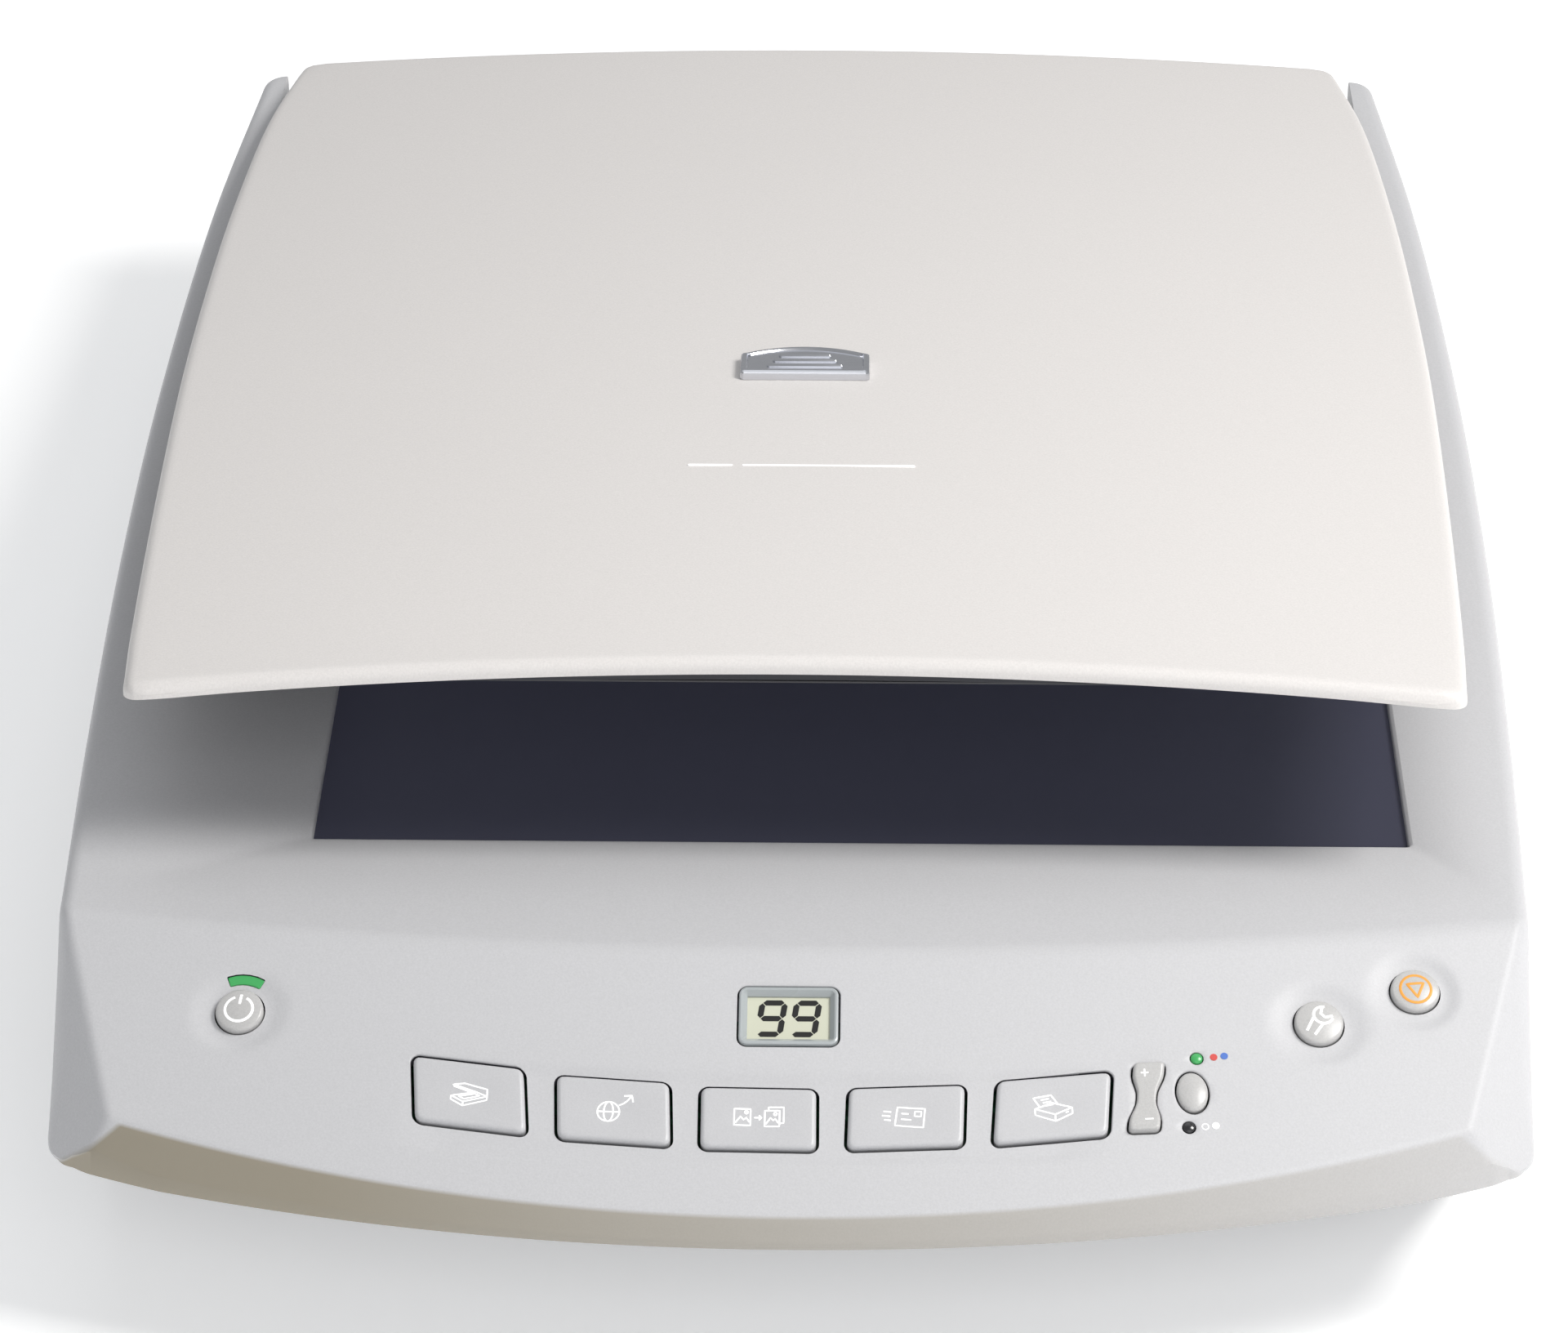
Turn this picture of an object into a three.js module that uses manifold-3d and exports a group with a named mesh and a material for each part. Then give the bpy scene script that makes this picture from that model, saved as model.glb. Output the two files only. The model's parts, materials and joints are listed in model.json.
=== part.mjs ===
// A desktop flatbed scanner: barrel-sided two-part case, tilted control panel with its buttons,
// glass platen, moving optical carriage with its belt drive, and a crowned lid on lifting hinge posts.
// Millimetres, +Z up, +X to the right, the control panel at -Y. The feet stand on z = 0.
import * as THREE from "three";
import { mergeVertices } from "three/addons/utils/BufferGeometryUtils.js";
import Module from "manifold-3d";

const wasm = await Module();
wasm.setup();

// ---- driving dimensions ------------------------------------------------------------------------
const GAP = 0.3; // between pieces that touch
const WALL = 2.6; // moulded wall

// Case, seen from above: half width at stations along the side, the rear edge and the bowed front.
const SIDE = [[141.5, 229], [147, 150], [149.4, 60], [149, -20], [146.6, -100], [143.8, -165], [143.3, -194]];
const REAR_Y = 229;
const FRONT_R = 440;
const FRONT_Y = -229;
const NOSE = [124, -234]; // where the cut-off corners of the outline would meet its front line

// Case heights.
const FOOT_H = 5;
const FLOOR_Z = FOOT_H + GAP;
const SKIRT_Z = 34;
const FLARE_Z = 36; // lower edge of the flared skirt
const FLARE = 0.467; // how far the front skirt leans back for each mm of height
const TRAY_TOP_Z = 37;
const UNDERCUT = 1.4; // how far the underside of the nose runs back for each mm it drops
const RIM_Z = 67;
const APRON_Z = 64.6; // deck beside the glass

// Control panel: a slice of a very wide cone that drops towards the front from a bowed ridge.
const PANEL_TILT = THREE.MathUtils.degToRad(26);
const RIDGE_R = 839;
const RIDGE_Y = -174.9;
const PANEL_AXIS_Y = RIDGE_Y + RIDGE_R;

// Platen.
const GLASS = { x0: -97, x1: 123, y0: -130.5, y1: 171.5, top: 62, thick: 3, hidden: 6 };
const RECESS = { halfX: 136, y: 182, z: 56 };

// Lid, in its closed position.
const LID_SIDE = [
  [131.5, 226.5],
  [136.5, 186],
  [138.9, 126],
  [139.3, 76],
  [138.6, 17],
  [136, -55],
  [132.9, -119],
  [131.4, -141],
];
const LID_FRONT_Y = -145;
const LID_Z = 68.5;
const LID_TOP_Z = 76.3;
const LID_CROWN_R = 1865;
const LID_BOW = 4.5; // how far the front edge is drawn back in the middle
const LID_SKIN = 3.2;
const LINER_INSET = 8;
const HINGE = { y: 217, z: 66.5, postX: 105, pinR: 2, boreR: 2.08 };
const LID_REST = THREE.MathUtils.degToRad(5.5); // propped a little open

// Optical carriage and its drive.
const CARRIAGE = { x: 13, y: 155, halfX: 113, halfY: 23, z0: 20, z1: 54.4, wall: 2 };
const SLIT_Y = CARRIAGE.y + 15;
const ROD = { x: 20, z: 14, r: 3, y0: -178, y1: 206 };
const BELT = { x: 80, yRear: 200, yFront: -160, z0: 14, z1: 18, r: 5.9, thick: 1 };
const GEAR = { module: 1.2, pinionTeeth: 8, wheelTeeth: 24, z0: 9, z1: 12.5 };
const GEAR_DISTANCE = (GEAR.module * (GEAR.pinionTeeth + GEAR.wheelTeeth)) / 2 + 0.25;
const MOTOR = { x: BELT.x - GEAR_DISTANCE, y: BELT.yRear, r: 17.5, z0: 22, z1: 38 };

// Buttons and lights: distance across (x) and down the slope (s) from the middle of the ridge.
const KEY_RISE = 0.073; // degrees that a key's upper edge turns for each mm off centre
const KEY_LEAN = 0.13; // degrees that its sides lean for each mm off centre
const KEYS = [
  { name: "scan_button", x: -60.9, s: 33.7, w: 21.4, h: 13.8 },
  { name: "web_button", x: -33.3, s: 35.8, w: 21.5, h: 13.3 },
  { name: "photo_button", x: -5.7, s: 36.9, w: 21.9, h: 12.9 },
  { name: "mail_button", x: 22.3, s: 36.5, w: 22, h: 12.9 },
  { name: "copy_button", x: 50.1, s: 35.1, w: 21.8, h: 13.5 },
];
const ROUNDS = [
  { name: "power_button", x: -106.3, s: 18.6, rx: 5, ry: 5 },
  { name: "tools_button", x: 101.6, s: 18.9, rx: 5, ry: 5 },
  { name: "cancel_button", x: 120.5, s: 13.3, rx: 5, ry: 4.8 },
  { name: "color_button", x: 76.8, s: 32.6, rx: 3.1, ry: 4.4 },
];
const ROCKER = { name: "copies_rocker", x: 67.9, s: 33.4, w: 6, waist: 3.6, h: 14.6 };
const LIGHTS = [
  { name: "color_light", x: 77.8, s: 25.3, r: 1.2 },
  { name: "mono_light", x: 76, s: 40.1, r: 1.2 },
];
const POWER_LIGHT = { x: -106.2, s: 11.6, w: 6.6, h: 2 };
const DISPLAY = { x: -0.3, s: 14.5, w: 19.2, h: 12.7 };
const KEY_PROUD = 1.1;
const KEY_DEPTH = 4;
const KEY_GAP = 0.4;

// ---- solids ------------------------------------------------------------------------------------
function solid(geometry) {
  const plain = geometry.index ? geometry.toNonIndexed() : geometry.clone();
  for (const name of ["normal", "uv"]) plain.deleteAttribute(name);
  const merged = mergeVertices(plain, 1e-4);
  const vertProperties = new Float32Array(merged.attributes.position.array);
  const triVerts = new Uint32Array(merged.index.array);
  return new wasm.Manifold(new wasm.Mesh({ numProp: 3, vertProperties, triVerts }));
}

function geometryOf(manifold) {
  const mesh = manifold.getMesh();
  const geometry = new THREE.BufferGeometry();
  geometry.setAttribute("position", new THREE.BufferAttribute(mesh.vertProperties, 3));
  geometry.setIndex(new THREE.BufferAttribute(mesh.triVerts, 1));
  return geometry;
}

const join = (...parts) => parts.reduce((a, b) => a.add(b));
const cut = (body, ...tools) => tools.reduce((a, b) => a.subtract(b), body);

function boxGeometry(x0, x1, y0, y1, z0, z1) {
  const box = new THREE.BoxGeometry(x1 - x0, y1 - y0, z1 - z0);
  return box.translate((x0 + x1) / 2, (y0 + y1) / 2, (z0 + z1) / 2);
}
const box = (...sides) => solid(boxGeometry(...sides));

// A rod between two points along one of the axes.
function rod(axis, r, a, b, [u, v], segments = 24) {
  const g = new THREE.CylinderGeometry(r, r, b - a, segments);
  if (axis === "x") return g.rotateZ(-Math.PI / 2).translate((a + b) / 2, u, v);
  if (axis === "y") return g.translate(u, (a + b) / 2, v);
  return g.rotateX(Math.PI / 2).translate(u, v, (a + b) / 2);
}
const rodSolid = (...args) => solid(rod(...args));

const extrudeZ = (shape, z0, z1, curveSegments = 10) =>
  new THREE.ExtrudeGeometry(shape, { depth: z1 - z0, bevelEnabled: false, curveSegments })
    .translate(0, 0, z0);

// A profile in Y and Z, carried across the width.
function extrudeX(points, x0, x1) {
  const shape = new THREE.Shape(points.map(([y, z]) => new THREE.Vector2(y, z)));
  const g = new THREE.ExtrudeGeometry(shape, { depth: x1 - x0, bevelEnabled: false });
  return g.rotateY(Math.PI / 2).rotateX(Math.PI / 2).translate(x0, 0, 0);
}

// A profile in X and Z, carried from front to rear.
function extrudeY(shape, y0, y1, curveSegments = 10) {
  const g = new THREE.ExtrudeGeometry(shape, { depth: y1 - y0, bevelEnabled: false, curveSegments });
  return g.rotateX(Math.PI / 2).translate(0, y1, 0);
}

// A turned solid about an upright axis at (0, y), from [radius, z] points with both ends on the axis.
function turned(profile, y, segments) {
  const points = profile.map(([r, z]) => new THREE.Vector2(r, z));
  return solid(new THREE.LatheGeometry(points, segments).rotateX(Math.PI / 2).translate(0, y, 0));
}

function mesh(name, geometry, material) {
  const made = new THREE.Mesh(geometry, material);
  made.name = name;
  return made;
}

// ---- materials ---------------------------------------------------------------------------------
const paint = (color, roughness, metalness = 0) =>
  new THREE.MeshStandardMaterial({ color, roughness, metalness });
const MAT = {
  case: paint(0xdedbd6, 0.55),
  plinth: paint(0xb9b7b4, 0.6),
  panelKey: paint(0xc9c9cc, 0.4),
  glass: paint(0x2e303e, 0.08),
  pad: paint(0xe9e8e4, 0.9),
  white: paint(0xf2f1ee, 0.5),
  board: paint(0x2f6b45, 0.6),
  dark: paint(0x24242a, 0.5),
  steel: paint(0xb8bbc0, 0.3, 1),
  brass: paint(0xb08d57, 0.4, 1),
  chrome: paint(0xd8d9de, 0.15, 1),
  rubber: paint(0x2a2a2a, 0.85),
  nylon: paint(0xe6e2d6, 0.6),
  mirror: paint(0xe2e6ea, 0.03, 1),
  lamp: paint(0xf7f7fa, 0.2),
  lens: paint(0xa9b09a, 0.2),
  green: paint(0x2f9a4a, 0.35),
  smoke: paint(0x3a3a42, 0.35),
};

// ---- case --------------------------------------------------------------------------------------
// The plan of the case. Its front line stands proud of the nose, which frontFlare rounds off.
function outline(inset) {
  const [noseX, noseY] = [NOSE[0] - inset, NOSE[1]];
  const right = SIDE.map(([x, y], i) => new THREE.Vector2(x - inset, i ? y : REAR_Y - inset));
  const left = right.map((p) => new THREE.Vector2(-p.x, p.y));
  const shape = new THREE.Shape().moveTo(left[0].x, left[0].y);
  shape.splineThru(left.slice(1)).lineTo(-noseX, noseY).lineTo(noseX, noseY);
  shape.lineTo(right.at(-1).x, right.at(-1).y);
  return shape.splineThru(right.slice(0, -1).reverse());
}

// Everything under the panel's cone, moved in by an inset.
function panelSlope(inset) {
  const drop = inset / Math.cos(PANEL_TILT);
  const radiusAt = (z) => RIDGE_R + (RIM_Z - drop - z) / Math.tan(PANEL_TILT);
  return turned([[0, -5], [radiusAt(-5), -5], [radiusAt(90), 90], [0, 90]], PANEL_AXIS_Y, 240);
}

// Everything behind the flared front skirt.
function frontFlare(inset) {
  const r = FRONT_R - inset;
  const lean = (90 - FLARE_Z) * FLARE;
  return turned([[0, -5], [r, -5], [r, FLARE_Z], [r - lean, 90], [0, 90]], FRONT_Y + FRONT_R, 160);
}

// The oblique facet that trims one side of the panel, as the block to take away.
function sideFacet(side, inset) {
  const ridgeEnd = new THREE.Vector3(side * 142.3, -162.8, RIM_Z);
  const panelCorner = new THREE.Vector3(side * 129.3, -208, 46.2);
  const skirtCorner = new THREE.Vector3(side * 143.3, -194, FLARE_Z);
  const plane = new THREE.Plane().setFromCoplanarPoints(ridgeEnd, panelCorner, skirtCorner);
  if (plane.normal.z < 0) plane.negate();
  const block = new THREE.BoxGeometry(200, 200, 60).translate(0, 0, 30 - inset);
  const turn = new THREE.Quaternion().setFromUnitVectors(new THREE.Vector3(0, 0, 1), plane.normal);
  block.applyQuaternion(turn);
  return solid(block.translate(panelCorner.x, panelCorner.y, panelCorner.z));
}

function caseSolid(inset, z0, z1) {
  let body = solid(extrudeZ(outline(inset), z0, z1, 2));
  body = body.intersect(panelSlope(inset)).intersect(frontFlare(inset));
  return cut(body, sideFacet(1, inset), sideFacet(-1, inset));
}

// The dished deck: side and front aprons that fall towards the glass and meet in mitres.
function deckDish() {
  const across = new THREE.Shape();
  const rail = 141;
  across.moveTo(-rail, RIM_Z).lineTo(GLASS.x0, APRON_Z).lineTo(GLASS.x1, APRON_Z);
  across.lineTo(rail, RIM_Z).lineTo(rail, 90).lineTo(-rail, 90);
  const along = [[-160, RIM_Z], [GLASS.y0, APRON_Z], [RECESS.y + 1, APRON_Z], [RECESS.y + 1, 90], [-160, 90]];
  return solid(extrudeY(across, -200, 240)).intersect(solid(extrudeX(along, -200, 200)));
}

// Where a point of the panel lies and how it faces: z out of the panel, y up the slope.
function panelFrame(x, s, turnDegrees = 0) {
  const r = RIDGE_R + s * Math.cos(PANEL_TILT);
  const angle = Math.asin(x / r);
  const y = PANEL_AXIS_Y - r * Math.cos(angle);
  const frame = new THREE.Matrix4().makeTranslation(x, y, RIM_Z - s * Math.sin(PANEL_TILT));
  frame.multiply(new THREE.Matrix4().makeRotationZ(angle + THREE.MathUtils.degToRad(turnDegrees)));
  return frame.multiply(new THREE.Matrix4().makeRotationX(PANEL_TILT));
}

// A shape drawn on the panel, from a depth below its surface to a height above.
const onPanel = (shape, x, s, low, high, segments = 6) =>
  extrudeZ(shape, low, high, segments).applyMatrix4(panelFrame(x, s));

function keyShape({ x, w, h }, grow) {
  const rise = Math.tan(THREE.MathUtils.degToRad(KEY_RISE * x));
  const lean = Math.tan(THREE.MathUtils.degToRad(KEY_LEAN * x));
  const [a, b, c] = [w / 2 + grow, h / 2 + grow, 1.6 + grow];
  const at = (u, v) => new THREE.Vector2(u + v * lean, v + u * rise);
  const right = [[a, c - b], [a, b - c], [a - c, b]];
  const left = [[c - a, b], [-a, b - c], [-a, c - b]];
  const corners = [...right, ...left, [c - a, -b], [a - c, -b]];
  return new THREE.Shape(corners.map(([u, v]) => at(u, v)));
}

function ovalShape({ rx, ry }, grow) {
  return new THREE.Shape().absellipse(0, 0, rx + grow, ry + grow, 0, 2 * Math.PI, false, 0);
}

function rockerShape(grow) {
  const [a, b, c] = [ROCKER.w / 2 + grow, ROCKER.waist / 2 + grow, ROCKER.h / 2 + grow];
  const lean = Math.tan(THREE.MathUtils.degToRad(KEY_LEAN * ROCKER.x));
  const half = [[a, -c], [a, -c / 2 - 1], [b, -0.8], [b, 0.8], [a, c / 2 + 1], [a, c]];
  const around = [...half, ...half.map(([u, v]) => [-u, -v])];
  return new THREE.Shape(around.map(([u, v]) => new THREE.Vector2(u + v * lean, v)));
}

function barShape(w, h, grow) {
  const [a, b] = [w / 2 + grow, h / 2 + grow];
  return new THREE.Shape([[a, -b], [a, b], [-a, b], [-a, -b]].map(([u, v]) => new THREE.Vector2(u, v)));
}

function panelOpenings() {
  const through = (shape, { x, s }) => solid(onPanel(shape, x, s, -12, 6));
  return [
    ...KEYS.map((k) => through(keyShape(k, KEY_GAP), k)),
    ...ROUNDS.map((k) => through(ovalShape(k, KEY_GAP), k)),
    through(rockerShape(KEY_GAP), ROCKER),
    ...LIGHTS.map((k) => through(ovalShape({ rx: k.r, ry: k.r }, GAP), k)),
    through(barShape(POWER_LIGHT.w, POWER_LIGHT.h, GAP), POWER_LIGHT),
    through(barShape(DISPLAY.w, DISPLAY.h, GAP), DISPLAY),
  ];
}

const POST = { halfX: 11, halfY: 4, z0: 26 };
const SLEEVE = { halfX: 13.6, halfY: 5.9, z0: 30, play: 0.35 };
const SCREWS = [[-134.5, -120], [134.5, -120], [-131.5, 205], [131.5, 205]];

function topHousing() {
  const ceiling = GLASS.top + GAP;
  const rearCeiling = RECESS.z - WALL;
  const hollow = cut(caseSolid(WALL, -5, ceiling), box(-160, 160, RECESS.y - WALL, 240, rearCeiling, 90));
  let body = cut(caseSolid(0, SKIRT_Z, RIM_Z), deckDish(), hollow);
  body = cut(body, box(-RECESS.halfX, RECESS.halfX, RECESS.y, 240, RECESS.z, 90));
  body = cut(body, box(GLASS.x0, GLASS.x1, GLASS.y0, GLASS.y1, 50, 90));
  for (const side of [-1, 1]) {
    const [x, y, p] = [side * HINGE.postX, HINGE.y, SLEEVE.play];
    const { halfX, halfY, z0 } = SLEEVE;
    const sleeve = box(x - halfX, x + halfX, y - halfY, y + halfY, z0, RECESS.z - 1);
    const slot = box(x - POST.halfX - p, x + POST.halfX + p, y - POST.halfY - p, y + POST.halfY + p, 20, 80);
    body = join(body, sleeve).subtract(slot);
  }
  for (const [x, y] of SCREWS) {
    const boss = rodSolid("z", 4.5, 16.4, rearCeiling + 1, [x, y], 16);
    const web = rodSolid("z", 4.5, rearCeiling, ceiling + 1, [x, y], 16);
    body = join(body, boss, ...(y < 0 ? [web] : []));
    body = cut(body, rodSolid("z", 1.8, 10, 42, [x, y], 12));
  }
  return geometryOf(cut(body, ...panelOpenings()));
}

// The tray below: it laps inside the upper case and its nose is cut away underneath.
function traySolid(inset, z0, z1) {
  const r = FRONT_R - inset;
  const keel = r - (FLARE_Z + 5) * UNDERCUT;
  const nose = turned([[0, -5], [keel, -5], [r, FLARE_Z], [r, 90], [0, 90]], FRONT_Y + FRONT_R, 160);
  return caseSolid(inset, z0, z1).intersect(nose);
}

const ROD_BLOCKS = [-175, 203];

function bottomHousing() {
  const inner = FLOOR_Z + WALL;
  let body = cut(traySolid(WALL + 0.6, FLOOR_Z, TRAY_TOP_Z), traySolid(2 * WALL + 0.6, inner, 80));
  for (const y of ROD_BLOCKS) {
    body = join(body, box(ROD.x - 6, ROD.x + 6, y - 3.5, y + 3.5, inner - 1, ROD.z + 5.5));
  }
  body = cut(body, rodSolid("y", ROD.r + 0.06, ROD.y0 - 1, ROD.y1 + 1, [ROD.x, ROD.z], 20));
  body = join(body, rodSolid("z", 2, inner - 1, BELT.z1 + 0.4, [BELT.x, BELT.yRear], 24));
  for (const side of [-1, 1]) {
    const y = MOTOR.y + side * 13;
    body = join(body, box(MOTOR.x - 3, MOTOR.x + 3, y - 2.5, y + 2.5, inner - 1, MOTOR.z0 - GAP));
  }
  for (const [x, y] of SCREWS) {
    body = join(body, rodSolid("z", 5.5, FLOOR_Z, 16, [x, y], 16));
    body = cut(body, rodSolid("z", 4, 0, 13, [x, y], 16), rodSolid("z", 1.9, 0, 20, [x, y], 12));
  }
  const jack = box(JACK.x - 6 - GAP, JACK.x + 6 + GAP, 215, 235, PORT_Z - 6 - GAP, PORT_Z + 6 + GAP);
  const usb = box(USB.x - 6.2 - GAP, USB.x + 6.2 + GAP, 215, 235, PORT_Z - 5.5 - GAP, PORT_Z + 5.5 + GAP);
  return geometryOf(cut(body, jack, usb));
}

// ---- platen and electronics --------------------------------------------------------------------
function scanGlass() {
  const h = GLASS.hidden;
  const { x0, x1, y0, y1, top, thick } = GLASS;
  return boxGeometry(x0 - h, x1 + h, y0 - h, y1 + h, top - thick, top);
}

function calibrationStrip() {
  const top = GLASS.top - GLASS.thick - GAP;
  return boxGeometry(GLASS.x0 + 2, GLASS.x1 - 2, GLASS.y1 - 6, GLASS.y1 + 5.5, top - 0.5, top);
}

const PORT_Z = 22;
const JACK = { x: -72 };
const USB = { x: -40 };
const PORT_Y = { back: 210, face: 226.2 };

function powerJack() {
  const { x } = JACK;
  const body = box(x - 6, x + 6, PORT_Y.back, PORT_Y.face, PORT_Z - 6, PORT_Z + 6);
  const socket = rodSolid("y", 3.2, PORT_Y.face - 10, PORT_Y.face + 1, [x, PORT_Z], 20);
  const pin = rodSolid("y", 1, PORT_Y.face - 11, PORT_Y.face - 1, [x, PORT_Z], 12);
  return geometryOf(join(cut(body, socket), pin));
}

function usbPort() {
  const { x } = USB;
  const body = box(x - 6.2, x + 6.2, PORT_Y.back, PORT_Y.face, PORT_Z - 5.5, PORT_Z + 5.5);
  const socket = box(x - 4.2, x + 4.2, PORT_Y.face - 10, PORT_Y.face + 1, PORT_Z - 3.9, PORT_Z + 3.9);
  const tongue = box(x - 2.8, x + 2.8, PORT_Y.face - 11, PORT_Y.face - 1.5, PORT_Z - 1.2, PORT_Z + 1.6);
  return geometryOf(join(cut(body, socket), tongue));
}

const mainBoard = () => boxGeometry(-112, -22, 184, 221, PORT_Z - 8, PORT_Z - 6 - GAP);

function panelBoard() {
  const g = new THREE.BoxGeometry(228, 30, 1.6).translate(0, 0, -11);
  return g.applyMatrix4(panelFrame(0, 25));
}

const displayPanel = () => onPanel(barShape(DISPLAY.w - 1, DISPLAY.h - 1, 0), DISPLAY.x, DISPLAY.s, -5, -1.5);
const displayLens = () => onPanel(barShape(DISPLAY.w, DISPLAY.h, 0), DISPLAY.x, DISPLAY.s, -1.2, 0.2);
const powerLight = () =>
  onPanel(barShape(POWER_LIGHT.w, POWER_LIGHT.h, 0), POWER_LIGHT.x, POWER_LIGHT.s, -4, 0.2);
const roundLight = ({ x, s, r }) => onPanel(ovalShape({ rx: r, ry: r }, 0), x, s, -4, 0.3, 3);

// ---- buttons -----------------------------------------------------------------------------------
const key = (k) => onPanel(keyShape(k, 0), k.x, k.s, -KEY_DEPTH, KEY_PROUD);
const roundKey = (k) => onPanel(ovalShape(k, 0), k.x, k.s, -KEY_DEPTH, KEY_PROUD, 6);
const rocker = () => onPanel(rockerShape(0), ROCKER.x, ROCKER.s, -KEY_DEPTH, KEY_PROUD);

// ---- carriage ----------------------------------------------------------------------------------
function carriageHousing() {
  const { x, y, halfX, halfY, z0, z1, wall } = CARRIAGE;
  const outer = box(x - halfX, x + halfX, y - halfY, y + halfY, z0, z1);
  const [reachX, reachY] = [halfX - wall, halfY - wall];
  const inner = box(x - reachX, x + reachX, y - reachY, y + reachY, z0 + wall, z1 - wall);
  const slit = box(x - halfX + 4, x + halfX - 4, SLIT_Y - 2.5, SLIT_Y + 2.5, z1 - 10, z1 + 5);
  return geometryOf(cut(outer, inner, slit));
}

const lampTube = () => rod("x", 1.5, CARRIAGE.x - 111, CARRIAGE.x + 111, [SLIT_Y - 6, CARRIAGE.z1 + 1.8], 14);

// A strip mirror across the carriage, turned about X.
function mirror([y, z], degrees) {
  const g = new THREE.BoxGeometry(216, 11, 1.6).rotateX(THREE.MathUtils.degToRad(degrees));
  return g.translate(CARRIAGE.x, CARRIAGE.y + y, z);
}
const MIRRORS = [[[15, 30], 45], [[-15, 30], -45], [[-15, 45.5], 45]];

function lensBarrel() {
  const y = CARRIAGE.y;
  const tube = rodSolid("y", 7, y - 8, y + 2, [CARRIAGE.x, 45], 20);
  return geometryOf(cut(tube, rodSolid("y", 5, y - 9, y - 6, [CARRIAGE.x, 45], 20)));
}

const sensorBoard = () =>
  boxGeometry(CARRIAGE.x - 32, CARRIAGE.x + 32, CARRIAGE.y + 4.5, CARRIAGE.y + 6.1, 34, 51.5);

function rodBush(offset) {
  const y = CARRIAGE.y + offset;
  const block = box(ROD.x - 7, ROD.x + 7, y - 5, y + 5, ROD.z - 5, CARRIAGE.z0 - GAP);
  return geometryOf(cut(block, rodSolid("y", ROD.r + 0.08, y - 9, y + 9, [ROD.x, ROD.z], 20)));
}

function beltClamp() {
  const run = BELT.x - BELT.r - BELT.thick / 2;
  const block = box(run - 4, run + 4, CARRIAGE.y - 7, CARRIAGE.y + 7, 12, CARRIAGE.z0 - GAP);
  return geometryOf(cut(block, box(run - 1, run + 1, 100, 200, BELT.z0 - 0.4, BELT.z1 + 0.4)));
}

// ---- drive -------------------------------------------------------------------------------------
function gearShape(teeth, turn) {
  const pitch = (GEAR.module * teeth) / 2;
  const [tip, root] = [pitch + 0.6 * GEAR.module, pitch - 0.85 * GEAR.module];
  const step = (2 * Math.PI) / teeth;
  const points = [];
  for (let i = 0; i < teeth; i += 1) {
    const middle = i * step + turn;
    for (const [r, across] of [[root, -0.3], [tip, -0.13], [tip, 0.13], [root, 0.3]]) {
      const angle = middle + across * step;
      points.push(new THREE.Vector2(r * Math.cos(angle), r * Math.sin(angle)));
    }
  }
  return new THREE.Shape(points);
}

function driveGear() {
  const wheel = solid(extrudeZ(gearShape(GEAR.wheelTeeth, 0), GEAR.z0, GEAR.z1));
  const pulley = rodSolid("z", BELT.r - 0.4, 0, BELT.z1 + 0.4 - GEAR.z0, [0, 0], 24)
    .translate([0, 0, GEAR.z0]);
  const bore = rodSolid("z", 2.08, 0, 40, [0, 0], 24);
  return geometryOf(cut(join(wheel, pulley), bore).translate([BELT.x, BELT.yRear, 0]));
}

function motorGear() {
  const halfTooth = Math.PI / GEAR.pinionTeeth;
  const pinion = solid(extrudeZ(gearShape(GEAR.pinionTeeth, halfTooth), GEAR.z0, GEAR.z1));
  const shaft = rodSolid("z", 1.5, GEAR.z0, MOTOR.z0 + 5, [0, 0], 16);
  return geometryOf(join(pinion, shaft).translate([MOTOR.x, MOTOR.y, 0]));
}

function stepperMotor() {
  const { r, z0, z1 } = MOTOR;
  const points = [[0, z0 + 6], [1.7, z0 + 6], [1.7, z0], [r, z0], [r, z1], [0, z1]];
  const profile = points.map(([a, b]) => new THREE.Vector2(a, b));
  return new THREE.LatheGeometry(profile, 32).rotateX(Math.PI / 2).translate(MOTOR.x, MOTOR.y, 0);
}

function idlerPulley() {
  const wheel = rodSolid("z", BELT.r - 0.4, BELT.z0 - 0.4, BELT.z1 + 0.4, [0, 0], 24);
  const bore = rodSolid("z", 2.08, 0, 40, [0, 0], 24);
  return geometryOf(cut(wheel, bore).translate([BELT.x, BELT.yFront, 0]));
}

function idlerBracket() {
  const { x, yFront: y } = BELT;
  const plate = box(x - 8, x + 8, y - 7, y + 7, 8.2, 10.4);
  const axle = rodSolid("z", 2, 9, BELT.z1 + 0.6, [x, y], 24);
  const stub = box(x + 8, x + 14, y - 3, y + 3, 8.2, 13.4);
  return geometryOf(join(plate, axle, stub.translate([-0.5, 0, 0])));
}

class Helix extends THREE.Curve {
  getPoint(t, target = new THREE.Vector3()) {
    const angle = 2 * Math.PI * 4 * t;
    return target.set(1.8 * Math.cos(angle), 14 * t, 1.8 * Math.sin(angle));
  }
}

function tensionSpring() {
  const section = new THREE.Shape().absarc(0, 0, 0.4, 0, 2 * Math.PI);
  const g = new THREE.ExtrudeGeometry(section, { steps: 32, curveSegments: 3, extrudePath: new Helix() });
  return g.translate(BELT.x + 10.5, BELT.yFront + 4, 11);
}

function stadium(halfLength, r) {
  const shape = new THREE.Shape();
  shape.absarc(0, halfLength, r, 0, Math.PI, false);
  shape.absarc(0, -halfLength, r, Math.PI, 2 * Math.PI, false);
  return shape;
}

function driveBelt() {
  const half = (BELT.yRear - BELT.yFront) / 2;
  const outer = solid(extrudeZ(stadium(half, BELT.r + BELT.thick), BELT.z0, BELT.z1, 10));
  const inner = solid(extrudeZ(stadium(half, BELT.r), BELT.z0 - 1, BELT.z1 + 1, 10));
  return geometryOf(cut(outer, inner).translate([BELT.x, (BELT.yRear + BELT.yFront) / 2, 0]));
}

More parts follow.
